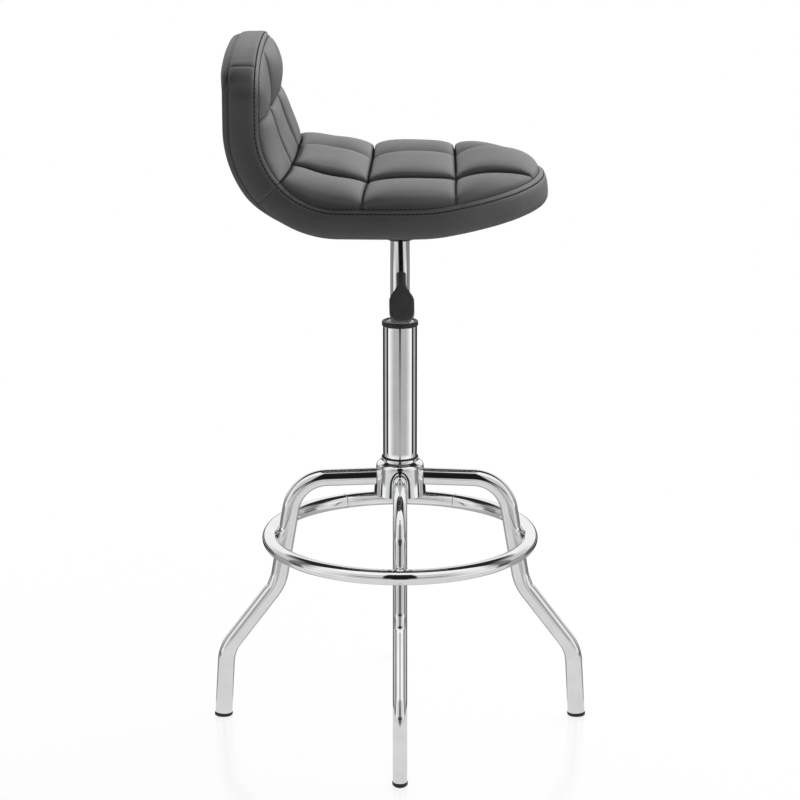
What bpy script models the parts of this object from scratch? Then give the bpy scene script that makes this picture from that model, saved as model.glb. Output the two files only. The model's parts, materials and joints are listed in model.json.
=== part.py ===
"""Bar stool on a gas lift: a turned hub with four bent oval legs and a foot ring, a column with a
gas spring that swivels and slides, a release lever, and a quilted seat with a low back.

Metres, +Z up. The origin is on the floor under the column. The seat faces +X, the lever is on -Y."""
import math

import bmesh
import bpy
from mathutils import Matrix, Vector, geometry

# Fits
CLEARANCE = 0.0003
CREASE_GAP = 0.0006
CORE_GAP = 0.0012

# Legs: oval tube, centre line given by its corners as radius and height
LEG_DEPTH = 0.0255
LEG_WIDTH = 0.0205
LEG_WALL = 0.0016
LEG_SIDES = 12
ARM_START_Z = 0.3800
ARM_END_R = 0.1541
ARM_END_Z = 0.3746
KNEE_R = 0.1806
KNEE_Z = 0.2186
ANKLE_R = 0.2608
ANKLE_Z = 0.1076
FOOT_R = 0.2675
ARM_BEND_R = 0.056
KNEE_BEND_R = 0.042
ANKLE_BEND_R = 0.042
LEG_NAMES = {"right": 0, "rear": 90, "left": 180, "front": 270}

# Foot caps
CAP_HEIGHT = 0.006
CAP_LIP = 0.0009
CAP_PLUG = 0.016

# Foot ring
RING_Z = 0.2862
RING_TUBE_R = 0.0112
RING_WALL = 0.0016
RING_STEPS = 36
RING_SIDES = 10
DRAIN_HOLE_R = 0.0025

# Hub
HUB_BOTTOM_Z = 0.3526
HUB_BOTTOM_R = 0.0365
HUB_TOP_Z = 0.4012
HUB_TOP_R = 0.0345
HUB_SHOULDER = 0.0075
HUB_EDGE = 0.001
HUB_COLLAR_R = 0.0272
HUB_COLLAR_TOP_Z = 0.4088

# Column
COLUMN_R = 0.025
COLUMN_WALL = 0.002
COLUMN_FOOT_R = 0.0238
COLUMN_FOOT_Z = 0.3545
COLUMN_TAPER_TOP_Z = 0.418
COLUMN_TOP_Z = 0.6085
TOP_RING_R = 0.0266
TOP_RING_HEIGHT = 0.0066
TOP_RING_SPIGOT = 0.008
TOP_RING_SPIGOT_WALL = 0.0016
BUSH_LENGTH = 0.076
BUSH_SINK = 0.0013

# Swivel bearing at the foot of the column
BASE_PLATE_Z = 0.3585
BASE_PLATE_THICK = 0.004
RACE_R = 0.0125
RACE_THICK = 0.002
CAGE_THICK = 0.004
BUMPER_R = 0.0115
BUMPER_WAIST_R = 0.0095
BUMPER_LENGTH = 0.028
CLIP_R = 0.009
CLIP_THICK = 0.0016

# Gas spring
ROD_R = 0.005
ROD_TAIL = 0.0025
ROD_NECK_R = 0.0042
ROD_FLANGE_R = 0.0088
ROD_FLANGE = 0.003
PISTON_THICK = 0.014
CYLINDER_R = 0.014
CYLINDER_WALL = 0.0025
CYLINDER_IN_COLUMN = 0.0735
CYLINDER_TOP_DROP = 0.0075
CYLINDER_TOP_R = 0.0132
ROD_GUIDE_LENGTH = 0.03
VALVE_LENGTH = 0.056
RELEASE_PIN_R = 0.004
RELEASE_PIN_LENGTH = 0.03

# Boss that holds the top of the cylinder
BOSS_BOTTOM_Z = 0.7357
BOSS_R = 0.0212
BOSS_DOME = 0.0055

# Seat plate and its bolts
PLATE_THICK = 0.0025
PLATE_FRONT_X = 0.034
PLATE_REAR_X = -0.084
PLATE_HALF_WIDTH = 0.062
PLATE_CORNER_R = 0.012
BOLT_FRONT_X = 0.019
BOLT_REAR_X = -0.069
BOLT_Y = 0.048
BOLT_R = 0.0036
BOLT_HEAD_R = 0.0072
BOLT_CROWN_R = 0.0058
BOLT_HEAD_HEIGHT = 0.0042
TEE_NUT_WALL = 0.0014
TEE_NUT_FLANGE_R = 0.0095
TEE_NUT_FLANGE = 0.0014
TEE_NUT_LENGTH = 0.0095

# Release lever
LEVER_ROD_R = 0.00325
LEVER_ARM = 0.030
LEVER_PIVOT_Z = 0.7675
LEVER_OVERHANG = 0.003
LEVER_STRAIGHT = 0.012
LEVER_SLOPE = math.radians(48)
LEVER_BEND_R = 0.012
LEVER_ROD_DROP = 0.1055
PADDLE_LENGTH = 0.080
PADDLE_SHANK_R = 0.0066
PADDLE_HALF_WIDTH = 0.0177
PADDLE_HALF_THICK = 0.0042
PADDLE_SOCKET = 0.024
PADDLE_NECK = 0.010
PADDLE_FLARE = 0.030
PADDLE_END = 0.018
PADDLE_ROUNDING = 0.92
PADDLE_END_THICK = 0.0024
PADDLE_STEPS = 14
PADDLE_SIDES = 16
PIN_R = 0.0014
EAR_THICK = 0.002
EAR_HALF_LENGTH = 0.0075
EAR_SIDE_GAP = 0.0008
BRACKET_BASE = 0.0016
SLOT_SIDE_GAP = 0.001
SLOT_DEPTH = 0.0095

# Seat: the line of the front seam along the middle of the seat and up the back
SEAT_LEVEL_Z = 0.8163
NOSE_X = 0.2066
NOSE_RISE = 0.0185
INCLINE_START_X = 0.045
INCLINE_BEND_R = 0.25
BACK_X = -0.1965
BACK_BEND_R = 0.113
BACK_TOP_Z = 1.027
CREASE_ANGLE = math.radians(42.4)

# Seat: half widths of the seam's outline
SEAT_HALF_WIDTH = 0.225
BACK_HALF_WIDTH = 0.212
NOSE_LENGTH = 0.2066
TOP_ROUND = 0.060
TOP_POWER = 2.5

# Seat: layers, as heights from the seam's level
BAND_HEIGHT = 0.0355
BAND_THICK = 0.004
BAND_BULGE = 0.0025
BAND_DRAW_IN = 0.0015
COVER_THICK = 0.0037
COVER_BULGE = 0.0085
SWELL_START_ANGLE = math.radians(24)
SWELL_END_ANGLE = math.radians(56)
SHELL_THICK = 0.012

# Seat: quilting
SEAT_ROWS = 3
BACK_ROW_SHARES = (0.0, 0.547, 1.0)
CHANNEL_Y = 0.0735
CHANNEL_HEIGHT = 0.014
SEAT_CREST = 0.040
BACK_CREST = 0.029
PILLOW_POWER = 2.4
EDGE_WIDTH = 0.085
COVER_EDGE_WIDTH = 0.022
CHANNEL_LIMIT = 0.8
CHANNEL_SIDE = 0.008

# Facets of round pieces
ROUND = 32
SMALL_ROUND = 16
BOLT_ROUND = 10
SHOULDER_STEPS = 4
BEND_STEPS = 4
LEVER_SIDES = 10
NOSE_STEPS = 9
NOSE_FIRST_ANGLE = math.radians(6)
FLANK_STEPS = 14
TOP_STEPS = 6
TOP_LAST_ANGLE = math.radians(80)
CELL_STEPS = (0.0, 0.04, 0.14, 0.3, 0.5, 0.7, 0.86, 0.96)
SIDE_STEPS = (0.0, 0.05, 0.18, 0.4, 0.65, 0.85, 0.96, 1.0)
COVER_STEPS = (-1.0, -0.97, -0.87, -0.5, 0.0, 0.5, 0.87, 0.97, 1.0)
BAND_STEPS = (0.0, 0.2, 0.5, 0.8, 1.0)
SHARP_ANGLE = math.radians(40)
QUILT_SHARP_ANGLE = math.radians(75)


def clear_scene():
    for thing in list(bpy.data.objects):
        bpy.data.objects.remove(thing, do_unlink=True)


def make_material(name, colour, roughness, metallic):
    mat = bpy.data.materials.new(name)
    mat.use_nodes = True
    shader = mat.node_tree.nodes["Principled BSDF"]
    shader.inputs["Base Color"].default_value = (*colour, 1.0)
    shader.inputs["Roughness"].default_value = roughness
    shader.inputs["Metallic"].default_value = metallic
    return mat


def make_empty(name, place=(0.0, 0.0, 0.0), parent=None):
    empty = bpy.data.objects.new(name, None)
    empty.location = place
    empty.parent = parent
    bpy.context.scene.collection.objects.link(empty)
    return empty


def make_object(name, bm, mat, parent=None, sharp=SHARP_ANGLE):
    """One closed body from a bmesh, its faces turned outwards and shaded smooth up to the sharp angle."""
    bmesh.ops.recalc_face_normals(bm, faces=bm.faces)
    mesh = bpy.data.meshes.new(name)
    bm.to_mesh(mesh)
    bm.free()
    mesh.shade_smooth()
    mesh.set_sharp_from_angle(angle=sharp)
    if mat:
        mesh.materials.append(mat)
    thing = bpy.data.objects.new(name, mesh)
    thing.parent = parent
    bpy.context.scene.collection.objects.link(thing)
    return thing


def make_cutter(name, bm, parent=None):
    cutter = make_object(name, bm, None, parent)
    cutter.hide_render = True
    cutter.display_type = "WIRE"
    return cutter


def cut(thing, cutter):
    step = thing.modifiers.new("cut_" + cutter.name, "BOOLEAN")
    step.operation = "DIFFERENCE"
    step.object = cutter


def turned(profile, steps):
    """A profile of (radius, height) points spun about Z. It closes on itself, or on the axis."""
    bm = bmesh.new()
    points = [bm.verts.new((radius, 0.0, height)) for radius, height in profile]
    edges = [bm.edges.new(pair) for pair in zip(points, points[1:])]
    on_axis = profile[0][0] == 0.0 and profile[-1][0] == 0.0
    if not on_axis:
        edges.append(bm.edges.new((points[-1], points[0])))
    bmesh.ops.spin(bm, geom=points + edges, cent=(0, 0, 0), axis=(0, 0, 1), angle=math.tau,
                   steps=steps, use_merge=True)
    bmesh.ops.remove_doubles(bm, verts=bm.verts, dist=1e-6)
    return bm


def ring_profile(inner, outer, bottom, top):
    return [(inner, bottom), (inner, top), (outer, top), (outer, bottom)]


def skinned(rings, closed=False):
    """A skin over rings of points, capped at both ends or joined end to end."""
    bm = bmesh.new()
    loops = [[bm.verts.new(point) for point in ring] for ring in rings]
    pairs = list(zip(loops, loops[1:]))
    if closed:
        pairs.append((loops[-1], loops[0]))
    for one, two in pairs:
        for i in range(len(one)):
            j = (i + 1) % len(one)
            bm.faces.new((one[i], one[j], two[j], two[i]))
    if not closed:
        bm.faces.new(loops[0])
        bm.faces.new(loops[-1])
    return bm


def box(low, high):
    bm = bmesh.new()
    size = Vector(high) - Vector(low)
    middle = (Vector(high) + Vector(low)) / 2
    bmesh.ops.create_cube(bm, size=1.0, matrix=Matrix.Translation(middle) @ Matrix.Diagonal((*size, 1)))
    return bm


def rod(start, end, radius, steps):
    """A straight round bar between two points."""
    start, end = Vector(start), Vector(end)
    turn = (end - start).to_track_quat("Z", "Y").to_matrix()
    rings = []
    for centre in (start, end):
        rings.append([centre + turn @ Vector((radius * math.cos(a), radius * math.sin(a), 0))
                      for a in (math.tau * i / steps for i in range(steps))])
    return skinned(rings)


def rounded_path(corners, radii, steps):
    """Points along straight runs whose corners are rounded by arcs, in any plane."""
    points = [Vector(corners[0])]
    for i, radius in enumerate(radii, start=1):
        before, corner, after = (Vector(corners[k]) for k in (i - 1, i, i + 1))
        come = (corner - before).normalized()
        go = (after - corner).normalized()
        turn = come.angle(go)
        start = corner - come * radius * math.tan(turn / 2)
        inward = (go - come * come.dot(go)).normalized()
        for k in range(steps + 1):
            a = turn * k / steps
            points.append(start + come * radius * math.sin(a) + inward * radius * (1 - math.cos(a)))
    points.append(Vector(corners[-1]))
    return points


def path_directions(points):
    ways = []
    for i in range(len(points)):
        before = points[max(i - 1, 0)]
        after = points[min(i + 1, len(points) - 1)]
        ways.append((after - before).normalized())
    return ways


# Base

def leg_path(start_r):
    """Centre line of a leg in its own plane: x is the radius, z the height."""
    slope = (ARM_END_Z - ARM_START_Z) / ARM_END_R
    end_z = CAP_HEIGHT + CLEARANCE
    corners = [(start_r, 0, ARM_START_Z + slope * start_r), (ARM_END_R, 0, ARM_END_Z),
               (KNEE_R, 0, KNEE_Z), (ANKLE_R, 0, ANKLE_Z), (foot_line(end_z), 0, end_z)]
    return rounded_path(corners, [ARM_BEND_R, KNEE_BEND_R, ANKLE_BEND_R], BEND_STEPS)


def foot_line(height):
    """Radius of the lowest stretch of a leg at a height above the floor."""
    return FOOT_R + (ANKLE_R - FOOT_R) * height / ANKLE_Z


def oval_ring(centre, across, deep, wide):
    """An oval of points with its half depth along a direction and its half width along Y."""
    ring = []
    for i in range(LEG_SIDES):
        a = math.tau * i / LEG_SIDES
        ring.append(centre + across * deep * math.cos(a) + Vector((0, wide * math.sin(a), 0)))
    return ring


def leg_rings(start_r, grow):
    """Oval sections along a leg, grown or shrunk all round. The foot's section lies level."""
    points = leg_path(start_r)
    rings = []
    for point, way in zip(points, path_directions(points)):
        across = Vector((way.z, 0, -way.x))
        if point is points[-1]:
            across = Vector((-1, 0, 0))
        rings.append(oval_ring(point, across, LEG_DEPTH / 2 + grow, LEG_WIDTH / 2 + grow))
    return rings


def leg_end_r():
    return column_r(ARM_START_Z) + 2 * CLEARANCE


def build_leg(name, angle, mat):
    outer = leg_rings(leg_end_r(), 0.0)
    inner = leg_rings(leg_end_r(), -LEG_WALL)
    leg = make_object("leg_" + name, skinned(outer + inner[::-1], closed=True), mat)
    leg.rotation_euler.z = math.radians(angle)


def build_foot_cap(name, angle, mat):
    """A cap under the leg's end with a plug up its bore, leaning as the leg does."""
    lip = (LEG_DEPTH / 2 + CAP_LIP, LEG_WIDTH / 2 + CAP_LIP)
    sole = (LEG_DEPTH / 2 - CAP_LIP, LEG_WIDTH / 2 - CAP_LIP)
    plug = (LEG_DEPTH / 2 - LEG_WALL - CLEARANCE, LEG_WIDTH / 2 - LEG_WALL - CLEARANCE)
    edge = CAP_HEIGHT / 4
    stages = [(0.0, sole), (edge, lip), (CAP_HEIGHT, lip), (CAP_HEIGHT, plug),
              (CAP_HEIGHT + CAP_PLUG, plug)]
    rings = []
    for height, (deep, wide) in stages:
        centre = Vector((foot_line(height), 0, height))
        rings.append(oval_ring(centre, Vector((1, 0, 0)), deep, wide))
    cap = make_object("foot_cap_" + name, skinned(rings), mat)
    cap.rotation_euler.z = math.radians(angle)


def ring_radius():
    """Centre radius of the foot ring, which touches the outside of the sloping legs."""
    share = (ARM_END_Z - RING_Z) / (ARM_END_Z - KNEE_Z)
    leg_r = ARM_END_R + (KNEE_R - ARM_END_R) * share
    lean = math.atan2(KNEE_R - ARM_END_R, ARM_END_Z - KNEE_Z)
    return leg_r + (LEG_DEPTH / 2 + CLEARANCE + RING_TUBE_R) / math.cos(lean)


def hoop(tube_r, sides):
    rings = []
    for i in range(RING_STEPS):
        a = math.tau * i / RING_STEPS
        out = Vector((math.cos(a), math.sin(a), 0))
        centre = out * ring_radius() + Vector((0, 0, RING_Z))
        rings.append([centre + out * tube_r * math.cos(b) + Vector((0, 0, tube_r * math.sin(b)))
                      for b in (math.tau * k / sides for k in range(sides))])
    return skinned(rings, closed=True)


def build_foot_ring(mat):
    """A hollow hoop with a drain hole on its underside between two legs."""
    ring = make_object("foot_ring", hoop(RING_TUBE_R, RING_SIDES), mat)
    cut(ring, make_cutter("ring_bore", hoop(RING_TUBE_R - RING_WALL, RING_SIDES)))
    out = ring_radius() * math.sqrt(0.5)
    drill = rod((out, out, RING_Z), (out, out, RING_Z - 2 * RING_TUBE_R), DRAIN_HOLE_R, BOLT_ROUND)
    cut(ring, make_cutter("drain_drill", drill))


def column_r(height):
    """Outside radius of the column, which tapers below into the hub."""
    share = (height - COLUMN_FOOT_Z) / (COLUMN_TAPER_TOP_Z - COLUMN_FOOT_Z)
    return COLUMN_FOOT_R + (COLUMN_R - COLUMN_FOOT_R) * min(share, 1.0)


def column_bore_r(height):
    return column_r(height) - COLUMN_WALL


def build_hub(mat):
    """A turned socket with a rounded shoulder and a collar, and a window for each leg."""
    profile = [(column_r(HUB_BOTTOM_Z) + CLEARANCE, HUB_BOTTOM_Z),
               (column_r(HUB_COLLAR_TOP_Z) + CLEARANCE, HUB_COLLAR_TOP_Z),
               (HUB_COLLAR_R - HUB_EDGE, HUB_COLLAR_TOP_Z), (HUB_COLLAR_R, HUB_COLLAR_TOP_Z - HUB_EDGE),
               (HUB_COLLAR_R, HUB_TOP_Z)]
    for i in range(SHOULDER_STEPS + 1):
        a = math.radians(90 - 90 * i / SHOULDER_STEPS)
        profile.append((HUB_TOP_R - HUB_SHOULDER * (1 - math.cos(a)),
                        HUB_TOP_Z - HUB_SHOULDER * (1 - math.sin(a))))
    profile += [(HUB_BOTTOM_R, HUB_BOTTOM_Z + HUB_EDGE), (HUB_BOTTOM_R - HUB_EDGE, HUB_BOTTOM_Z)]
    hub = make_object("base_hub", turned(profile, ROUND), mat)
    for name, angle in LEG_NAMES.items():
        window = make_cutter("window_" + name, skinned(leg_rings(COLUMN_FOOT_R / 2, CLEARANCE)[:2]))
        window.rotation_euler.z = math.radians(angle)
        cut(hub, window)


def build_column(mat):
    profile = [(column_bore_r(COLUMN_FOOT_Z), COLUMN_FOOT_Z),
               (column_bore_r(COLUMN_TAPER_TOP_Z), COLUMN_TAPER_TOP_Z),
               (column_bore_r(COLUMN_TOP_Z), COLUMN_TOP_Z), (COLUMN_R, COLUMN_TOP_Z),
               (COLUMN_R, COLUMN_TAPER_TOP_Z), (COLUMN_FOOT_R, COLUMN_FOOT_Z)]
    make_object("column_tube", turned(profile, ROUND), mat)


def build_top_ring(mat):
    """The black ring that caps the column, with a spigot down its bore."""
    low = COLUMN_TOP_Z + CLEARANCE
    high = low + TOP_RING_HEIGHT
    edge = TOP_RING_HEIGHT / 4
    spigot_r = column_bore_r(COLUMN_TOP_Z) - CLEARANCE
    bore = spigot_r - TOP_RING_SPIGOT_WALL
    profile = [(bore, low - TOP_RING_SPIGOT), (bore, high), (TOP_RING_R - edge, high),
               (TOP_RING_R, high - edge), (TOP_RING_R, low), (spigot_r, low),
               (spigot_r, low - TOP_RING_SPIGOT)]
    make_object("column_top_ring", turned(profile, ROUND), mat)


def build_guide_bush(mat):
    """The sleeve that the gas cylinder slides in. Its head sits inside the top ring."""
    head_r = column_bore_r(COLUMN_TOP_Z) - TOP_RING_SPIGOT_WALL - 2 * CLEARANCE
    body_r = column_bore_r(COLUMN_TOP_Z) - CLEARANCE
    bore = CYLINDER_R + CLEARANCE
    top = COLUMN_TOP_Z + CLEARANCE + TOP_RING_HEIGHT - BUSH_SINK
    neck = COLUMN_TOP_Z - TOP_RING_SPIGOT - CLEARANCE
    profile = [(bore, top - BUSH_LENGTH), (bore, top), (head_r, top), (head_r, neck), (body_r, neck),
               (body_r, top - BUSH_LENGTH)]
    make_object("guide_bush", turned(profile, ROUND), mat)


def bearing_levels():
    """Heights of the pieces stacked on the column's base plate: race, cage, race, rod flange, bumper."""
    race_low = BASE_PLATE_Z + BASE_PLATE_THICK + CLEARANCE
    cage = race_low + RACE_THICK + CLEARANCE
    race_high = cage + CAGE_THICK + CLEARANCE
    flange = race_high + RACE_THICK + CLEARANCE
    bumper = flange + ROD_FLANGE + CLEARANCE
    return race_low, cage, race_high, flange, bumper


def build_bearing(steel, rubber, swivel):
    bore = ROD_NECK_R + CLEARANCE
    race_low, cage, race_high, _, bumper = bearing_levels()
    plate_r = column_bore_r(BASE_PLATE_Z) - CLEARANCE
    plate = ring_profile(bore, plate_r, BASE_PLATE_Z, BASE_PLATE_Z + BASE_PLATE_THICK)
    make_object("column_base_plate", turned(plate, SMALL_ROUND), steel)
    lower = ring_profile(bore, RACE_R, race_low, race_low + RACE_THICK)
    make_object("thrust_race_lower", turned(lower, SMALL_ROUND), steel)
    half = CAGE_THICK / 2
    balls = [(bore, cage + half), (bore + half, cage + CAGE_THICK), (RACE_R - half, cage + CAGE_THICK),
             (RACE_R, cage + half), (RACE_R - half, cage), (bore + half, cage)]
    make_object("ball_cage", turned(balls, SMALL_ROUND), steel)
    upper = ring_profile(bore, RACE_R, race_high, race_high + RACE_THICK)
    make_object("thrust_race_upper", turned(upper, SMALL_ROUND), steel, swivel)
    pad_bore = ROD_R + CLEARANCE
    pad = [(pad_bore, bumper), (pad_bore, bumper + BUMPER_LENGTH), (BUMPER_R, bumper + BUMPER_LENGTH),
           (BUMPER_WAIST_R, bumper + BUMPER_LENGTH / 2), (BUMPER_R, bumper)]
    make_object("rubber_bumper", turned(pad, SMALL_ROUND), rubber, swivel)


# Gas spring

def cylinder_top():
    return LEVER_PIVOT_Z - CYLINDER_TOP_DROP


def cylinder_bottom():
    return COLUMN_TOP_Z - CYLINDER_IN_COLUMN


def cylinder_r(height):
    """Outside radius of the gas cylinder, which tapers above the boss's mouth."""
    share = (height - BOSS_BOTTOM_Z) / (cylinder_top() - BOSS_BOTTOM_Z)
    return CYLINDER_R + (CYLINDER_TOP_R - CYLINDER_R) * max(share, 0.0)


def cylinder_bore_r():
    return CYLINDER_TOP_R - CYLINDER_WALL


def piston_bottom():
    return cylinder_bottom() + ROD_GUIDE_LENGTH + CLEARANCE


def build_piston(steel, swivel):
    """The rod stands on the upper race by its flange. A clip on its neck holds it from below."""
    clip_top = BASE_PLATE_Z - CLEARANCE
    clip_bottom = clip_top - CLIP_THICK
    _, _, _, flange, _ = bearing_levels()
    top = piston_bottom() - CLEARANCE
    profile = [(0.0, clip_bottom - ROD_TAIL), (ROD_NECK_R, clip_bottom - ROD_TAIL), (ROD_NECK_R, flange),
               (ROD_FLANGE_R, flange), (ROD_FLANGE_R, flange + ROD_FLANGE), (ROD_R, flange + ROD_FLANGE),
               (ROD_R, top), (0.0, top)]
    make_object("piston_rod", turned(profile, SMALL_ROUND), steel, swivel)
    clip = ring_profile(ROD_NECK_R + CLEARANCE, CLIP_R, clip_bottom, clip_top)
    make_object("rod_clip", turned(clip, SMALL_ROUND), steel, swivel)
    head_r = cylinder_bore_r() - CLEARANCE
    low = piston_bottom()
    high = low + PISTON_THICK
    waist = head_r - CYLINDER_WALL / 2
    lip = PISTON_THICK / 3
    head = [(0.0, low), (head_r, low), (head_r, low + lip), (waist, low + lip), (waist, high - lip),
            (head_r, high - lip), (head_r, high), (0.0, high)]
    make_object("piston_head", turned(head, SMALL_ROUND), steel, swivel)


def build_cylinder(chrome, plastic, steel, seat):
    bore = cylinder_bore_r()
    tube = [(bore, cylinder_bottom()), (bore, cylinder_top()), (CYLINDER_TOP_R, cylinder_top()),
            (CYLINDER_R, BOSS_BOTTOM_Z), (CYLINDER_R, cylinder_bottom())]
    make_object("gas_cylinder", turned(tube, ROUND), chrome, seat)
    guide = ring_profile(ROD_R + CLEARANCE, bore - CLEARANCE, cylinder_bottom(),
                         cylinder_bottom() + ROD_GUIDE_LENGTH - CLEARANCE)
    make_object("rod_guide", turned(guide, SMALL_ROUND), plastic, seat)
    low = cylinder_top() - VALVE_LENGTH
    floor = pin_bottom() - LEVER_ROD_R - CLEARANCE
    hole = RELEASE_PIN_R + CLEARANCE
    body_r = bore - CLEARANCE
    valve = [(0.0, low), (body_r, low), (body_r, cylinder_top()), (hole, cylinder_top()),
             (hole, floor), (0.0, floor)]
    make_object("valve_body", turned(valve, SMALL_ROUND), steel, seat)


def pin_top():
    return LEVER_PIVOT_Z - LEVER_ROD_R - CLEARANCE


def pin_bottom():
    return pin_top() - RELEASE_PIN_LENGTH


def build_release_pin(steel, parent):
    edge = RELEASE_PIN_R / 4
    profile = [(0.0, pin_bottom()), (RELEASE_PIN_R, pin_bottom()), (RELEASE_PIN_R, pin_top() - edge),
               (RELEASE_PIN_R - edge, pin_top()), (0.0, pin_top())]
    make_object("release_pin", turned(profile, SMALL_ROUND), steel, parent)


# Seat plate, boss and lever

def plate_top():
    return SEAT_LEVEL_Z - BAND_HEIGHT - CLEARANCE


def plate_bottom():
    return plate_top() - PLATE_THICK


def bolt_places():
    for end, x in (("front", BOLT_FRONT_X), ("rear", BOLT_REAR_X)):
        for side, y in (("right", -BOLT_Y), ("left", BOLT_Y)):
            yield end + "_" + side, x, y


def bolt_drill(name, x, y, parent):
    """A cutter along a bolt, through the plate and the cover."""
    hole = BOLT_R + CLEARANCE
    drill = rod((x, y, plate_bottom() - hole), (x, y, shell_bottom() + hole), hole, SMALL_ROUND)
    return make_cutter("drill_" + name, drill, parent)


def build_seat_plate(mat, seat):
    corners = []
    for x, y, start in ((PLATE_FRONT_X, PLATE_HALF_WIDTH, 0), (PLATE_REAR_X, PLATE_HALF_WIDTH, 90),
                        (PLATE_REAR_X, -PLATE_HALF_WIDTH, 180), (PLATE_FRONT_X, -PLATE_HALF_WIDTH, 270)):
        inward = Vector((-math.copysign(1, x), -math.copysign(1, y), 0)) * PLATE_CORNER_R
        centre = Vector((x, y, 0)) + inward
        for i in range(SHOULDER_STEPS + 1):
            a = math.radians(start + 90 * i / SHOULDER_STEPS)
            corners.append(centre + Vector((math.cos(a), math.sin(a), 0)) * PLATE_CORNER_R)
    rings = []
    for height in (plate_bottom(), plate_top()):
        rings.append([corner + Vector((0, 0, height)) for corner in corners])
    plate = make_object("seat_plate", skinned(rings), mat, seat)
    for name, x, y in bolt_places():
        cut(plate, bolt_drill("plate_" + name, x, y, seat))


def build_bolts(steel, seat):
    """Bolts up through the plate into tee nuts let into the top of the shell."""
    head_top = plate_bottom() - CLEARANCE
    bolt_end = shell_top() - TEE_NUT_FLANGE
    nut_top = shell_top() - CLEARANCE
    nut_bore = BOLT_R + CLEARANCE
    crown = head_top - BOLT_HEAD_HEIGHT
    for name, x, y in bolt_places():
        profile = [(0.0, crown), (BOLT_CROWN_R, crown), (BOLT_HEAD_R, head_top - BOLT_HEAD_HEIGHT / 2),
                   (BOLT_HEAD_R, head_top), (BOLT_R, head_top), (BOLT_R, bolt_end), (0.0, bolt_end)]
        bolt = make_object("seat_bolt_" + name, turned(profile, BOLT_ROUND), steel, seat)
        bolt.location = (x, y, 0)
        nut_r = nut_bore + TEE_NUT_WALL
        profile = [(nut_bore, nut_top - TEE_NUT_LENGTH), (nut_bore, nut_top), (TEE_NUT_FLANGE_R, nut_top),
                   (TEE_NUT_FLANGE_R, nut_top - TEE_NUT_FLANGE), (nut_r, nut_top - TEE_NUT_FLANGE),
                   (nut_r, nut_top - TEE_NUT_LENGTH)]
        nut = make_object("tee_nut_" + name, turned(profile, BOLT_ROUND), steel, seat)
        nut.location = (x, y, 0)


def build_boss(mat, seat):
    """A domed socket under the plate with a tapered bore and a slot that lets the lever in."""
    top = plate_bottom() - CLEARANCE
    mouth = cylinder_r(BOSS_BOTTOM_Z) + CLEARANCE
    profile = [(mouth, BOSS_BOTTOM_Z), (cylinder_r(cylinder_top()) + CLEARANCE, cylinder_top()),
               (cylinder_r(cylinder_top()) + CLEARANCE, top), (BOSS_R, top)]
    for i in range(SHOULDER_STEPS + 1):
        a = math.radians(90 * i / SHOULDER_STEPS)
        profile.append((BOSS_R - BOSS_DOME * (1 - math.cos(a)),
                        BOSS_BOTTOM_Z + BOSS_DOME * (1 - math.sin(a))))
    boss = make_object("seat_boss", turned(profile, ROUND), mat, seat)
    half = LEVER_ROD_R + SLOT_SIDE_GAP
    slot = box((-half, -2 * BOSS_R, LEVER_PIVOT_Z - SLOT_DEPTH), (half, 0, top + LEVER_ROD_R))
    cut(boss, make_cutter("lever_slot", slot, seat))


def build_lever_bracket(mat, seat):
    """A channel under the plate whose two ears carry the lever's pin."""
    top = plate_bottom() - CLEARANCE
    inside = LEVER_ROD_R + EAR_SIDE_GAP
    outside = inside + EAR_THICK
    low = LEVER_PIVOT_Z - LEVER_ROD_R
    under = top - BRACKET_BASE
    section = [(-outside, low), (-outside, top), (outside, top), (outside, low), (inside, low),
               (inside, under), (-inside, under), (-inside, low)]
    rings = []
    for y in (-LEVER_ARM - EAR_HALF_LENGTH, -LEVER_ARM + EAR_HALF_LENGTH):
        rings.append([Vector((x, y, z)) for x, z in section])
    bracket = make_object("lever_bracket", skinned(rings), mat, seat)
    hole = rod((-2 * outside, -LEVER_ARM, LEVER_PIVOT_Z), (2 * outside, -LEVER_ARM, LEVER_PIVOT_Z),
               PIN_R + CLEARANCE, BOLT_ROUND)
    cut(bracket, make_cutter("ear_drill", hole, seat))


def build_lever_pin(mat, seat):
    reach = LEVER_ROD_R + EAR_SIDE_GAP + EAR_THICK
    pin = rod((-reach, -LEVER_ARM, LEVER_PIVOT_Z), (reach, -LEVER_ARM, LEVER_PIVOT_Z), PIN_R, BOLT_ROUND)
    make_object("lever_pin", pin, mat, seat)


def lever_frame():
    """The bend below the bracket and the direction of the sloping stretch, from the lever's pivot."""
    bend = Vector((0, -LEVER_STRAIGHT, 0))
    down = Vector((0, -math.cos(LEVER_SLOPE), -math.sin(LEVER_SLOPE)))
    return bend, down


def build_lever_rod(mat, pivot):
    bend, down = lever_frame()
    points = rounded_path([(0, LEVER_ARM + LEVER_OVERHANG, 0), bend, bend + down * LEVER_ROD_DROP],
                          [LEVER_BEND_R], BEND_STEPS)
    rings = []
    for point, way in zip(points, path_directions(points)):
        across = Vector((0, -way.z, way.y))
        rings.append([point + Vector((LEVER_ROD_R * math.cos(a), 0, 0)) + across * LEVER_ROD_R * math.sin(a)
                      for a in (math.tau * i / LEVER_SIDES for i in range(LEVER_SIDES))])
    lever = make_object("lever_rod", skinned(rings), mat, pivot)
    eye = rod((-2 * LEVER_ROD_R, 0, 0), (2 * LEVER_ROD_R, 0, 0), PIN_R + CLEARANCE, BOLT_ROUND)
    cut(lever, make_cutter("lever_eye", eye, pivot))


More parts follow.
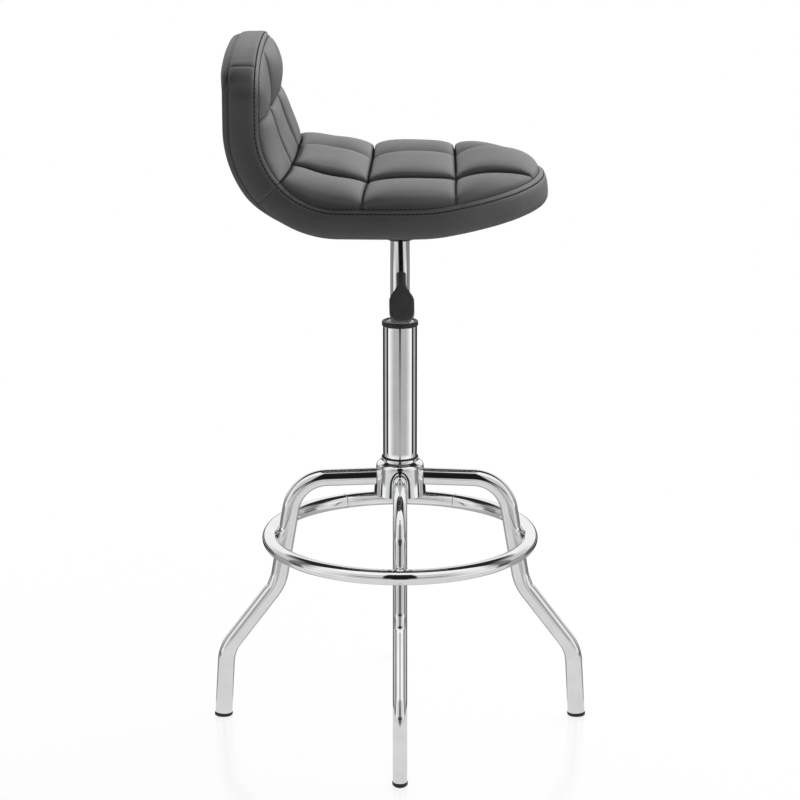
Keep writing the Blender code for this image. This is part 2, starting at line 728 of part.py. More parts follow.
def paddle_section(along):
    """Half width and half thickness of the paddle at a distance from the top of its shank."""
    flare = min(max((along - PADDLE_NECK) / PADDLE_FLARE, 0.0), 1.0)
    flare = flare * flare * (3 - 2 * flare)
    half_wide = PADDLE_SHANK_R + (PADDLE_HALF_WIDTH - PADDLE_SHANK_R) * flare
    half_thick = PADDLE_SHANK_R + (PADDLE_HALF_THICK - PADDLE_SHANK_R) * flare
    end = max((along - PADDLE_LENGTH + PADDLE_END) / PADDLE_END, 0.0)
    round_off = math.sqrt(1 - PADDLE_ROUNDING * end ** 2)
    return half_wide * round_off, half_thick + (PADDLE_END_THICK - half_thick) * end ** 2


def build_lever_paddle(mat, pivot):
    """A flat moulded grip that grows out of a round shank over the rod's end."""
    bend, down = lever_frame()
    start = bend + down * (LEVER_ROD_DROP - PADDLE_SOCKET)
    face = Vector((0, -down.z, down.y))
    rings = []
    for k in range(PADDLE_STEPS + 1):
        along = PADDLE_LENGTH * k / PADDLE_STEPS
        half_wide, half_thick = paddle_section(along)
        centre = start + down * along
        rings.append([centre + Vector((half_wide * math.cos(a), 0, 0)) + face * half_thick * math.sin(a)
                      for a in (math.tau * i / PADDLE_SIDES for i in range(PADDLE_SIDES))])
    paddle = make_object("lever_paddle", skinned(rings), mat, pivot)
    socket = rod(start - down * LEVER_ROD_R, start + down * (PADDLE_SOCKET + CLEARANCE),
                 LEVER_ROD_R + CLEARANCE, LEVER_SIDES)
    cut(paddle, make_cutter("paddle_socket", socket, pivot))


# Seat upholstery: points are given by a run along the seam's middle line, a side and a height

def spine_runs():
    """Lengths of the straight and curved stretches from the nose to the top of the back."""
    incline = math.atan2(NOSE_RISE, NOSE_X - INCLINE_START_X)
    tangent = INCLINE_BEND_R * math.tan(incline / 2)
    ramp = math.hypot(NOSE_RISE, NOSE_X - INCLINE_START_X) - tangent
    level = INCLINE_START_X - tangent - (BACK_X + BACK_BEND_R)
    upright = BACK_TOP_Z - SEAT_LEVEL_Z - BACK_BEND_R
    return incline, ramp, INCLINE_BEND_R * incline, level, BACK_BEND_R * math.pi / 2, upright


def spine_length():
    return sum(spine_runs()[1:])


def crease_run():
    _, ramp, ease, level, _, _ = spine_runs()
    return ramp + ease + level + BACK_BEND_R * CREASE_ANGLE


def spine(run):
    """Place and upward direction at a run along the seam's middle line."""
    incline, ramp, ease, level, bend, _ = spine_runs()
    if run <= ramp:
        along = Vector((-math.cos(incline), 0, -math.sin(incline)))
        place = Vector((NOSE_X, 0, SEAT_LEVEL_Z + NOSE_RISE)) + along * run
        return place, Vector((along.z, 0, -along.x))
    run -= ramp
    if run <= ease:
        lean = incline * (1 - run / ease)
        foot = INCLINE_START_X - INCLINE_BEND_R * math.tan(incline / 2)
        place = Vector((foot + INCLINE_BEND_R * math.sin(lean), 0,
                        SEAT_LEVEL_Z + INCLINE_BEND_R * (1 - math.cos(lean))))
        return place, Vector((-math.sin(lean), 0, math.cos(lean)))
    run -= ease
    if run <= level:
        return Vector((BACK_X + BACK_BEND_R + level - run, 0, SEAT_LEVEL_Z)), Vector((0, 0, 1))
    run -= level
    turn = min(run / BACK_BEND_R, math.pi / 2)
    rise = max(run - bend, 0.0)
    centre = Vector((BACK_X + BACK_BEND_R, 0, SEAT_LEVEL_Z + BACK_BEND_R))
    up = Vector((math.sin(turn), 0, math.cos(turn)))
    return centre - up * BACK_BEND_R + Vector((0, 0, rise)), up


def on_seat(run, side, height):
    place, up = spine(run)
    return place + up * height + Vector((0, side, 0))


def half_width(run, inset):
    """Half width of the seat's outline at a run, with the outline drawn in by an inset."""
    top_start = spine_length() - TOP_ROUND
    if run < NOSE_LENGTH:
        share = (NOSE_LENGTH - run) / (NOSE_LENGTH - inset)
        return (SEAT_HALF_WIDTH - inset) * math.sqrt(max(1 - share ** 2, 0.0))
    if run > top_start:
        share = (run - top_start) / (TOP_ROUND - inset)
        return (BACK_HALF_WIDTH - inset) * max(1 - share ** TOP_POWER, 0.0) ** (1 / TOP_POWER)
    share = (run - NOSE_LENGTH) / (top_start - NOSE_LENGTH)
    ease = share * share * (3 - 2 * share)
    return SEAT_HALF_WIDTH + (BACK_HALF_WIDTH - SEAT_HALF_WIDTH) * ease - inset


def outline_runs(inset):
    """Runs from the nose to the top, close together where the outline turns."""
    top_start = spine_length() - TOP_ROUND
    runs = []
    for i in range(NOSE_STEPS):
        a = NOSE_FIRST_ANGLE + (math.pi / 2 - NOSE_FIRST_ANGLE) * i / NOSE_STEPS
        runs.append(NOSE_LENGTH - (NOSE_LENGTH - inset) * math.cos(a))
    for i in range(FLANK_STEPS):
        runs.append(NOSE_LENGTH + (top_start - NOSE_LENGTH) * i / FLANK_STEPS)
    for i in range(TOP_STEPS + 1):
        a = TOP_LAST_ANGLE * i / TOP_STEPS
        runs.append(top_start + (TOP_ROUND - inset) * math.sin(a) ** (2 / TOP_POWER))
    return runs


def core_inset():
    return BAND_THICK + CORE_GAP


def cover_top():
    return -BAND_HEIGHT + COVER_THICK


def shell_bottom():
    return SEAT_LEVEL_Z + cover_top() + CLEARANCE


def shell_top():
    return shell_bottom() + SHELL_THICK


def build_shell(mat, seat):
    """Bent plywood, with a stepped hole for each tee nut."""
    inset = core_inset()
    low = cover_top() + CLEARANCE
    high = low + SHELL_THICK
    rings = []
    for run in seat_rows(inset) + back_rows(inset):
        side = half_width(run, inset)
        rings.append([on_seat(run, -side, high), on_seat(run, side, high), on_seat(run, side, low),
                      on_seat(run, -side, low)])
    shell = make_object("seat_shell", skinned(rings), mat, seat)
    hole = BOLT_R + TEE_NUT_WALL + 2 * CLEARANCE
    pocket = TEE_NUT_FLANGE_R + CLEARANCE
    floor = shell_top() - TEE_NUT_FLANGE - 2 * CLEARANCE
    below = shell_bottom() - hole
    above = shell_top() + hole
    for name, x, y in bolt_places():
        profile = [(0.0, below), (hole, below), (hole, floor), (pocket, floor), (pocket, above),
                   (0.0, above)]
        drill = make_cutter("drill_shell_" + name, turned(profile, BOLT_ROUND), seat)
        drill.location = (x, y, 0)
        cut(shell, drill)


def cover_swell(run):
    """How far the outer cover stands out behind the back. It is flat over the seat plate."""
    _, ramp, ease, level, _, _ = spine_runs()
    turn = (run - ramp - ease - level) / BACK_BEND_R
    share = min(max((turn - SWELL_START_ANGLE) / (SWELL_END_ANGLE - SWELL_START_ANGLE), 0.0), 1.0)
    return COVER_BULGE * share * share * (3 - 2 * share)


def build_cover(mat, seat):
    """The padded cover of the underside and the rear, rounded off towards its edge."""
    inset = core_inset()
    loop = outline_loop(inset)
    rings = []
    for run in seat_rows(inset) + back_rows(inset):
        width = half_width(run, inset)
        ring = []
        for share in COVER_STEPS:
            swell = cover_swell(run) * edge_rise(run, width * share, loop, COVER_EDGE_WIDTH)
            ring.append(on_seat(run, width * share, -BAND_HEIGHT - swell))
        ring += [on_seat(run, width, cover_top()), on_seat(run, -width, cover_top())]
        rings.append(ring)
    cover = make_object("outer_cover", skinned(rings), mat, seat)
    for name, x, y in bolt_places():
        cut(cover, bolt_drill("cover_" + name, x, y, seat))


def band_profile():
    """Section of the border band as shares of its height and reaches out from the outline."""
    section = [(1.0, -BAND_THICK), (0.0, -BAND_THICK)]
    for share in BAND_STEPS:
        swell = 1 - (2 * share - 1) ** 2
        section.append((share, BAND_BULGE * swell - BAND_DRAW_IN * (1 - swell)))
    return section


def outline_loop(inset):
    """Closed outline as run and side pairs, up the left side and down the right."""
    left = [Vector((run, half_width(run, inset))) for run in outline_runs(inset)]
    return left + [Vector((point.x, -point.y)) for point in reversed(left)]


def build_band(mat, seat):
    """The border band round the whole edge, flat inside, swelling outside and drawn in at both seams."""
    loop = outline_loop(0.0)
    rings = []
    for i, point in enumerate(loop):
        way = (loop[(i + 1) % len(loop)] - loop[i - 1]).normalized()
        ring = []
        for share, reach in band_profile():
            place = point + Vector((-way.y, way.x)) * reach
            ring.append(on_seat(place.x, place.y, -BAND_HEIGHT * share))
        rings.append(ring)
    make_object("border_band", skinned(rings, closed=True), mat, seat)


def rounded(share):
    """Rise of a stuffed edge, steep at share 0 and level at share 1."""
    return (1 - (1 - share) ** PILLOW_POWER) ** (1 / PILLOW_POWER)


def pillow(share):
    """Rise of a quilted pillow, 0 on the channels to either side and 1 in the middle."""
    return rounded(1 - abs(2 * share - 1))


def edge_rise(run, side, loop, width):
    """Rise from the seam, 0 on the outline and 1 at a width from it."""
    place = Vector((run, side))
    near = width
    for one, two in zip(loop, loop[1:] + loop[:1]):
        _, share = geometry.intersect_point_line(place, one, two)
        foot = one + (two - one) * min(max(share, 0.0), 1.0)
        near = min(near, (place - foot).length)
    return rounded(near / width)


def row_pitch():
    return crease_run() / SEAT_ROWS


def back_channels():
    """Runs of the crease, the channel across the back and the top."""
    return [crease_run() + (spine_length() - crease_run()) * share for share in BACK_ROW_SHARES]


def cell_runs(low, high):
    return [low + (high - low) * share for share in CELL_STEPS]


def seat_rows(inset):
    """Rows of points from the nose to the crease, close together by the channels and the outline."""
    pitch = row_pitch()
    runs = [run for run in outline_runs(inset) if run < pitch - 2 * CHANNEL_SIDE] + [pitch - CHANNEL_SIDE]
    for row in range(1, SEAT_ROWS):
        end = pitch * (row + 1) if row + 1 < SEAT_ROWS else crease_run() - CREASE_GAP / 2
        runs += cell_runs(pitch * row, end)
    return runs + [crease_run() - CREASE_GAP / 2]


def back_rows(inset):
    """Rows of points from the crease to the top of the back."""
    top_start = spine_length() - TOP_ROUND
    foot, channel, top = back_channels()
    runs = cell_runs(foot + CREASE_GAP / 2, channel) + cell_runs(channel, top)
    runs = [run for run in runs if run < top_start - CHANNEL_SIDE]
    return runs + [run for run in outline_runs(inset) if run >= top_start]


def along_rise(run):
    """Pillow share along the seat or the back, which stays up where a pillow meets the outline."""
    if run < crease_run():
        share = run / row_pitch()
        return 1.0 if share < 0.5 else pillow(share % 1.0)
    foot, channel, top = back_channels()
    if run < channel:
        return pillow((run - foot) / (channel - foot))
    return pillow(min((run - channel) / (top - channel), 0.5))


def column_places(width):
    """Side and pillow share of each column of points at a half width, from right to left."""
    channel = min(CHANNEL_Y, CHANNEL_LIMIT * width)
    middle = [(channel * (2 * share - 1), pillow(share)) for share in CELL_STEPS[1:]]
    outer = []
    for share in SIDE_STEPS:
        rise = pillow(share) if share < 0.5 else 1.0
        outer.append((channel + (width - channel) * share, rise))
    return [(-side, rise) for side, rise in reversed(outer)] + middle + outer


def cushion_bottom():
    return cover_top() + SHELL_THICK + 2 * CLEARANCE


def build_cushion(name, runs, crest, mat, seat):
    """A quilted pad on the shell: pillows between sewn channels, drawn down to the seam all round."""
    inset = core_inset()
    loop = outline_loop(inset)
    bm = bmesh.new()
    tops = []
    floors = []
    for run in runs:
        width = half_width(run, inset)
        row = []
        for side, across in column_places(width):
            pad = CHANNEL_HEIGHT + (crest - CHANNEL_HEIGHT) * along_rise(run) * across
            height = pad * edge_rise(run, side, loop, EDGE_WIDTH)
            row.append(bm.verts.new(on_seat(run, side, height)))
        tops.append(row)
        floors.append([bm.verts.new(on_seat(run, side, cushion_bottom())) for side in (-width, width)])
    for i in range(len(runs) - 1):
        for j in range(len(tops[i]) - 1):
            bm.faces.new((tops[i][j], tops[i][j + 1], tops[i + 1][j + 1], tops[i + 1][j]))
        bm.faces.new((floors[i][0], floors[i][1], floors[i + 1][1], floors[i + 1][0]))
        bm.faces.new((tops[i][0], tops[i + 1][0], floors[i + 1][0], floors[i][0]))
        bm.faces.new((tops[i][-1], tops[i + 1][-1], floors[i + 1][1], floors[i][1]))
    for end in (0, -1):
        bm.faces.new(tops[end] + floors[end][::-1])
    make_object(name, bm, mat, seat, sharp=QUILT_SHARP_ANGLE)


def main():
    clear_scene()
    chrome = make_material("chrome", (0.80, 0.80, 0.82), 0.06, 1.0)
    steel = make_material("steel", (0.55, 0.55, 0.56), 0.35, 1.0)
    black_plastic = make_material("black_plastic", (0.015, 0.015, 0.016), 0.45, 0.0)
    grey_plastic = make_material("grey_plastic", (0.45, 0.45, 0.46), 0.5, 0.0)
    rubber = make_material("rubber", (0.03, 0.03, 0.03), 0.8, 0.0)
    black_steel = make_material("black_steel", (0.03, 0.03, 0.032), 0.4, 0.0)
    plywood = make_material("plywood", (0.55, 0.40, 0.24), 0.7, 0.0)
    leather = make_material("leather", (0.075, 0.075, 0.078), 0.5, 0.0)

    build_hub(chrome)
    for name, angle in LEG_NAMES.items():
        build_leg(name, angle, chrome)
        build_foot_cap(name, angle, black_plastic)
    build_foot_ring(chrome)
    build_column(chrome)
    build_top_ring(black_plastic)
    build_guide_bush(grey_plastic)

    swivel = make_empty("swivel_axis")
    build_bearing(steel, rubber, swivel)
    build_piston(steel, swivel)

    seat = make_empty("lift_axis", parent=swivel)
    build_cylinder(chrome, grey_plastic, steel, seat)
    build_seat_plate(black_steel, seat)
    build_boss(black_steel, seat)
    build_bolts(steel, seat)
    build_lever_bracket(black_steel, seat)
    build_lever_pin(steel, seat)
    build_shell(plywood, seat)
    build_cover(leather, seat)
    build_band(leather, seat)
    build_cushion("seat_cushion", seat_rows(core_inset()), SEAT_CREST, leather, seat)
    build_cushion("back_cushion", back_rows(core_inset()), BACK_CREST, leather, seat)

    pivot = make_empty("lever_pivot", (0.0, -LEVER_ARM, LEVER_PIVOT_Z), seat)
    build_lever_rod(black_steel, pivot)
    build_lever_paddle(black_plastic, pivot)
    build_release_pin(steel, make_empty("release_axis", parent=seat))


main()
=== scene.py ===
"""Looks of the bar stool: smooth chromed metalwork, moulded plastics and quilted faux leather over the
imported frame. Metres, +Z up. The seat faces +X, the lever is on -Y."""

import json
import math

import bmesh
import bpy
import numpy as np
from mathutils import Matrix, Vector, geometry, noise


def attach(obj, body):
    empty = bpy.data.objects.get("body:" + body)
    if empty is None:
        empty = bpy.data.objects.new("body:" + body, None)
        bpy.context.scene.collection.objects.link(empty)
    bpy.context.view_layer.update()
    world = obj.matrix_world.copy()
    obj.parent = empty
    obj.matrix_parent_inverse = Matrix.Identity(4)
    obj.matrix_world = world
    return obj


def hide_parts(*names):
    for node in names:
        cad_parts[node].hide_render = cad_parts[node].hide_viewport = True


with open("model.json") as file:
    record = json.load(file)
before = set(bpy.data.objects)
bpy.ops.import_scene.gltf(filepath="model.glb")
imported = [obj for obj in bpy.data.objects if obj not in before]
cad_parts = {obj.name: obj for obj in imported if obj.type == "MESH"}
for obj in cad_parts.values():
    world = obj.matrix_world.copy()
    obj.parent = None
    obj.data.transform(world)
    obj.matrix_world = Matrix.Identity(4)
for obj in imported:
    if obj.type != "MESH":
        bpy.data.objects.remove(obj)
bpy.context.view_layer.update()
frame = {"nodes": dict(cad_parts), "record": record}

UP = Vector((0, 0, 1))

# Legs: oval tube, centre line by its corners as radius and height
LEG_DEPTH = 0.0255
LEG_WIDTH = 0.0205
LEG_SIDES = 48
LEG_ANGLES = {"right": 0, "rear": 90, "left": 180, "front": 270}
LEG_START = (0.0249, 0.3791)
ARM_END = (0.1541, 0.3746)
KNEE = (0.1821, 0.2126)
ANKLE = (0.2608, 0.1076)
FOOT = (0.2675, 0.0)
LEG_FILLETS = (0, 0.056, 0.072, 0.064, 0)
PINCH_DEPTH = 0.0015
PINCH_LENGTH = 0.003
PINCH_WIDTH = 0.0064
PINCH_PLACE = 0.010
CAP_HEIGHT = 0.006
CAP_LIP = 0.0009
CAP_GAP = 0.0002

# Foot ring, hub and column
RING_Z = 0.2862
RING_R = 0.1937
RING_TUBE_R = 0.0112
RING_JOINT_ANGLE = 26.2
RING_WELD_SIZE = (0.0034, 0.0085, 0.0030)
HUB_BOTTOM_Z = 0.3526
HUB_TOP_Z = 0.4012
HUB_BOTTOM_R = 0.0385
HUB_TOP_R = 0.0348
COLLAR_R = 0.0272
COLLAR_BORE_R = 0.0251
COLLAR_TOP_Z = 0.4088
# A thin black ring on the collar's top: painted shade, the dark line where the collar meets the column
SHADE_RING_LOW_Z = COLLAR_TOP_Z + 0.0001
SHADE_RING_TOP_Z = COLLAR_TOP_Z + 0.0014
ARCH_SPRING_Z = 0.372
ARCH_TOP_Z = 0.3955
ARCH_HALF_WIDTH = 0.0158
ARCH_GROOVE = (0.0032, 0.0022)
ARCH_FLOOR_R = 0.0300
ARCH_OUTER_R = 0.045
COLUMN_R = 0.025
COLUMN_WALL = 0.002
COLUMN_FOOT_R = 0.0238
COLUMN_FOOT_Z = 0.3545
COLUMN_TAPER_TOP_Z = 0.418
COLUMN_TAPER_FILLET = 0.02
COLUMN_TOP_Z = 0.6085
TOP_RING_R = 0.0266
TOP_RING_BORE_R = 0.0212
TOP_RING_TOP_Z = 0.6154
TOP_RING_SKIRT = 0.008
BUSH_R = 0.0226
BUSH_NECK_R = 0.0208
BUSH_NECK_Z = 0.600
BUSH_TOP_Z = 0.6141
BUSH_LENGTH = 0.076
CYLINDER_R = 0.014
CYLINDER_BORE_R = 0.0107
CYLINDER_TOP_R = 0.0132
CYLINDER_GAP = 0.0003
CYLINDER_BOTTOM_Z = 0.535
CYLINDER_TOP_Z = 0.760
BOSS_BOTTOM_Z = 0.7357
BOSS_TOP_Z = 0.7752
BOSS_R = 0.0212
BOSS_BORE_R = 0.0135

# Lever, from its pivot
LEVER_PIVOT = Vector((0.0, -0.030, 0.7675))
LEVER_ROD_R = 0.0035
LEVER_SLIMMING = 0.0004
LEVER_SLOT_GAP = 0.001
LEVER_BEND = Vector((0.0, -0.012, 0.0))
LEVER_BEND_R = 0.012
LEVER_DOWN = Vector((0.0, -math.cos(math.radians(48)), -math.sin(math.radians(48))))
LEVER_DROP = 0.1055
LEVER_INNER = 0.033
LEVER_LEAN = 0.026
PADDLE_START = 0.0815
PADDLE_LENGTH = 0.080
SHANK_HALF_WIDTH = 0.0069
SHANK_HALF_THICK = 0.0066
GRIP_HALF_WIDTH = 0.0177
GRIP_HALF_THICK = 0.0042

# Seat: the seam's middle line and outline
SEAT_LEVEL_Z = 0.8163
NOSE_X = 0.2066
NOSE_RISE = 0.0185
INCLINE_START_X = 0.045
INCLINE_BEND_R = 0.25
BACK_X = -0.1965
BACK_BEND_R = 0.113
BACK_TOP_Z = 1.027
CREASE_ANGLE = math.radians(42.4)
SEAT_HALF_WIDTH = 0.225
BACK_HALF_WIDTH = 0.212
NOSE_LENGTH = 0.2066
TOP_ROUND = 0.060
TOP_POWER = 2.5

# Edge band and rear cover
BAND_HEIGHT = 0.0355
BAND_THICK = 0.004
# How strongly each ring of the band is darkened beside its seams: painted shade along with dark seam lines
BAND_SEAM_AND_SHADE = {0: 1.0, 1: 0.8, 2: 0.2, 16: 0.3, 17: 0.9, 18: 1.0}
BAND_OUTSIDE_RINGS = 19
BAND_RUCK = 0.00025
JOIN_GROOVE = 0.0011
JOIN_WIDTH = 0.0018
TOP_JOIN = 0.018
TOP_PULL = 0.0023
TOP_PULL_RUN = 0.030
TOP_PULL_FADE = 0.012
COVER_BULGE = 0.0092
COVER_EDGE = 0.014
COVER_POWER = 2.3
COVER_INSET = 0.0026
COVER_THICK = 0.0035
COVER_PITCH = 0.008
COVER_RINGS = (0.0010, 0.0022, 0.0036, 0.0052, 0.0072, 0.0096, 0.0124, 0.0160)
TOP_BULGE = 0.0036
RIM_SPACING = 0.0024
SWELL_START = math.radians(24)
SWELL_END = math.radians(56)

# Quilting
SEAT_ROWS = 3
BACK_SHARE = 0.547
CHANNEL_Y = 0.0735
SEAT_CHANNEL = 0.0105
BACK_CHANNEL = 0.0065
CHANNEL_EASE = 0.012
SEAT_CREST = 0.0380
SEAT_TILT = 0.06
OUTER_CREST = 0.0343
OUTER_TILT = 0.0042
REAR_FILL = 0.005
NEAR_REAR_FILL = 0.55
BACK_CREST = 0.029
BACK_OUTER_CREST = 0.0250
BACK_TILT = 0.0045
UPPER_BACK_SLOPE = 0.055
BACK_MID_EASE = 0.016
LOWER_BACK_CREST = 0.0278
LOWER_BACK_OUTER_CREST = 0.0294
CREASE_GAP = 0.0003
CREASE_HEIGHT = 0.008
CREASE_REACH = 0.03
CREASE_BOW = 0.010
SEAM_BOW = (0.0, 0.0018, 0.0025, 0.0055, 0.0)
SEAM_SKEW = (0.0, 0.0028, 0.0065, 0.0045, 0.0)
BOW_END = 0.07
BOW_SIDE = 0.2
CROSS_RISE = 0.34
CREASE_RISE = 0.30
LANE_RISE = 0.14
ALONG_POWER = 2.2
FAR_ALONG_POWER = 3.2
CREASE_POWER = 2.0
ACROSS_POWER = 4.6
OUTER_ACROSS_POWER = 2.3
BACK_ACROSS_POWER = 4.0
UPPER_ACROSS_POWER = 2.4
EDGE_POWER = 2.5
BACK_EDGE_POWER = 1.9
STRIP_POWER = 1.25
EDGE_WIDTH = 0.078
NOSE_EDGE_WIDTH = 0.150
NOSE_EDGE_RUN = 0.12
BACK_EDGE_WIDTH = 0.052
BACK_SIDE_WIDTH = 0.100
STRIP = 0.0070
STRIP_HEIGHT = 0.0052
STRIP_DENT = 0.0008
SEAM_DEPTH = 0.0018
SEAM_WIDTH = 0.0008
# Width of the painted shade along the sewn channels and the crease
CHANNEL_SHADE_WIDTH = 0.0040
CHANNEL_ROWS = (-0.0125, -0.0085, -0.005, -0.0028, -0.0012, 0.0, 0.0012, 0.0028, 0.005, 0.0085, 0.0125)
CHANNEL_SPACING = 0.0042
PAD_PITCH = 0.0052
PAD_RIM_SPACING = 0.0028
RIM_INSETS = (0.0, 0.0005, 0.0011, 0.0024, 0.0038, 0.0052, 0.0062, 0.0070, 0.0078, 0.0092, 0.0115)
PAD_FLOOR = -0.0190
GRID_HALF_WIDTH = 0.23
HELD_WIDTH = 0.010
PUFF_CAP = 0.003
PUFF_PRESSURE = 9.0
PUFF_FRAMES = 20
STITCH_PITCH = 0.0062
STITCH_LENGTH = 0.0042
STITCH_R = 0.0008
STITCH_SIDES = 6

# Leather and stage
LEATHER_DARK = (0.083, 0.083, 0.084)
LEATHER_PALE = (0.108, 0.108, 0.109)
# Near black, painted into the leather as shade in the channels and creases and as dark lines along the seams
LEATHER_SEAM_AND_SHADE = (0.006, 0.006, 0.006)
WORLD_LIGHT = 0.10
FLOOR_HALF = 8
FLOOR_GLOW = 0.88
FLOOR_POLISH = 0.72
NEAR_FLOOR_GLOW = 0.71
NEAR_FLOOR_Y = 0.05
NEAR_FLOOR_R = 0.75
CAMERA_PLACE = (0, -3.79246, 1.51204)
CAMERA_DIP = 15.01
CAMERA_LENS = 120.195


# Materials

def new_material(name):
    mat = bpy.data.materials.new(name)
    mat.use_nodes = True
    return mat, mat.node_tree, mat.node_tree.nodes["Principled BSDF"]


def plug(tree, made, **values):
    """Set a node's properties and inputs. A socket is linked, and an underscore stands for a space."""
    for key, value in values.items():
        name = key.replace("_", " ")
        if name not in made.inputs:
            setattr(made, key, value)
        elif isinstance(value, bpy.types.NodeSocket):
            tree.links.new(value, made.inputs[name])
        else:
            made.inputs[name].default_value = value
    return made


def node(tree, kind, **values):
    return plug(tree, tree.nodes.new("ShaderNode" + kind), **values)


def maths(tree, operation, one, two=0.0):
    step = node(tree, "Math", operation=operation)
    for socket, value in zip(step.inputs, (one, two)):
        if isinstance(value, bpy.types.NodeSocket):
            tree.links.new(value, socket)
        else:
            socket.default_value = value
    return step.outputs["Value"]


def mixed(tree, share, one, two):
    return node(tree, "Mix", data_type="RGBA", Factor=share, A=one, B=two).outputs["Result"]


def mixed_shaders(tree, share, one, two):
    mix = node(tree, "MixShader", Fac=share)
    tree.links.new(one, mix.inputs[1])
    tree.links.new(two, mix.inputs[2])
    return mix.outputs["Shader"]


def ranged(tree, source, low, high):
    return node(tree, "MapRange", Value=source, To_Min=low, To_Max=high).outputs["Result"]


def ramp(tree, source, stops):
    """Colours or grey levels over a value that runs from 0 to 1."""
    made = node(tree, "ValToRGB", Fac=source)
    elements = made.color_ramp.elements
    for k, (position, colour) in enumerate(stops):
        stop = elements[k] if k < 2 else elements.new(position)
        stop.position = position
        stop.color = (*colour, 1) if isinstance(colour, tuple) else (colour, colour, colour, 1)
    return made.outputs["Color"]


def texture(tree, kind, **values):
    """A texture in the object's own coordinates."""
    place = node(tree, "TexCoord").outputs["Object"]
    return node(tree, "Tex" + kind, Vector=place, **values)


def bumped(tree, source, strength, distance):
    return node(tree, "Bump", Height=source, Strength=strength, Distance=distance).outputs["Normal"]


def finish(name, tone, grain, dark, pale, rough, bump, metallic=0.0, spread=(0.35, 0.65)):
    """A finish whose colour and roughness follow one texture, with another raised on it."""
    mat, tree, shader = new_material(name)
    shade = texture(tree, **tone).outputs["Fac"]
    relief = texture(tree, **grain).outputs["Fac"]
    plug(tree, shader, Metallic=metallic, Base_Color=ramp(tree, shade, zip(spread, (dark, pale))),
         Roughness=ranged(tree, shade, *rough), Normal=bumped(tree, relief, *bump))
    return mat


def specks(scale, detail=4.0):
    return {"kind": "Noise", "Scale": scale, "Detail": detail}


def streaks(scale, distortion, detail=2.0):
    return {"kind": "Wave", "Scale": scale, "Distortion": distortion, "Detail": detail}


def moulded(name, dark, pale, rough):
    """Moulded plastic with a fine spark-eroded texture and a soft unevenness of tone."""
    spread = (rough - 0.06, rough + 0.08)
    return finish(name, specks(60), specks(1800, 2.0), dark, pale, spread, (0.25, 0.0002))


def leather_material():
    """Dark grey faux leather: fine pebbled grain, gently uneven in tone, with painted shade in its channels and
    creases and dark seam lines.
    """
    mat, tree, shader = new_material("grey_faux_leather")
    pebble = texture(tree, "Voronoi", Scale=900.0).outputs["Distance"]
    tone = texture(tree, **specks(16)).outputs["Fac"]
    seam_and_shade = node(tree, "Attribute", attribute_name="seam_and_shade").outputs["Fac"]
    # Painted shade: the leather's colour is darkened where the mesh attribute marks channels, creases and seam
    # lines
    colour = mixed(tree, seam_and_shade, ramp(tree, tone, [(0.3, LEATHER_DARK), (0.7, LEATHER_PALE)]), (*LEATHER_SEAM_AND_SHADE, 1))
    plug(tree, shader, Base_Color=colour, Roughness=ranged(tree, tone, 0.40, 0.50), Specular_IOR_Level=0.6,
         Normal=bumped(tree, pebble, 0.22, 0.0004))
    return mat


CHROME = finish("chrome_plate", specks(35), specks(90, 2.0), (0.86, 0.865, 0.87), (0.93, 0.93, 0.935),
                (0.02, 0.07), (0.02, 0.0003), metallic=1.0)
WELD = finish("plated_weld", specks(420, 3.0), specks(420, 3.0), (0.45, 0.45, 0.46), (0.85, 0.85, 0.86),
              (0.12, 0.3), (0.5, 0.0008), metallic=1.0)
# Painted shade: a dark plated finish for the walls of the hub's arch grooves, as if they lay in shadow
SHADED_RECESS_FINISH = finish("recess_painted_shade", specks(120), specks(700), (0.05, 0.05, 0.052), (0.16, 0.16, 0.165),
                (0.18, 0.36), (0.1, 0.0002), metallic=1.0)
STEEL = finish("machined_steel", specks(600), specks(600), (0.46, 0.46, 0.47), (0.60, 0.60, 0.61),
               (0.28, 0.45), (0.15, 0.0002), metallic=1.0)
BLACK_PLASTIC = moulded("black_moulded", (0.010, 0.010, 0.011), (0.017, 0.017, 0.018), 0.42)
PADDLE_PLASTIC = moulded("charcoal_moulded", (0.118, 0.118, 0.119), (0.138, 0.138, 0.139), 0.5)
GREY_PLASTIC = moulded("grey_moulded", (0.58, 0.58, 0.59), (0.68, 0.68, 0.69), 0.4)
RUBBER = moulded("bumper_rubber", (0.02, 0.02, 0.02), (0.032, 0.032, 0.032), 0.8)
PAINT = finish("black_powder_coat", specks(45), specks(900, 2.0), (0.016, 0.016, 0.017), (0.024, 0.024, 0.025),
               (0.36, 0.5), (0.2, 0.0003))
PLYWOOD = finish("bent_plywood", streaks(28, 6.0, 3.0), streaks(28, 6.0, 3.0), (0.42, 0.28, 0.15),
                 (0.60, 0.44, 0.27), (0.6, 0.8), (0.2, 0.0004), spread=(0.1, 0.9))
LEATHER = leather_material()
THREAD = finish("black_thread", streaks(700, 1.0), streaks(700, 1.0), (0.006, 0.006, 0.006),
                (0.022, 0.022, 0.022), (0.55, 0.75), (0.3, 0.0002))


# Mesh helpers

def link_object(name, data):
    thing = bpy.data.objects.new(name, data)
    bpy.context.scene.collection.objects.link(thing)
    return thing


def add_piece(name, mesh, mat, body, replaced=()):
    """A piece that rides a body, stands for the named nodes and takes its finish from a slot."""
    mesh.materials.append(mat)
    piece = link_object(name, mesh)
    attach(piece, body)
    if replaced:
        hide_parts(*replaced)
    return piece


def mesh_from(name, points, faces, sharp=None):
    mesh = bpy.data.meshes.new(name)
    mesh.from_pydata([tuple(p) for p in points], [], faces)
    mesh.validate()
    bm = bmesh.new()
    bm.from_mesh(mesh)
    bmesh.ops.recalc_face_normals(bm, faces=bm.faces)
    bm.to_mesh(mesh)
    bm.free()
    mesh.shade_smooth()
    if sharp is not None:
        mesh.set_sharp_from_angle(angle=math.radians(sharp))
    return mesh


def mesh_of(name, bm):
    mesh = bpy.data.meshes.new(name)
    bm.to_mesh(mesh)
    bm.free()
    return mesh


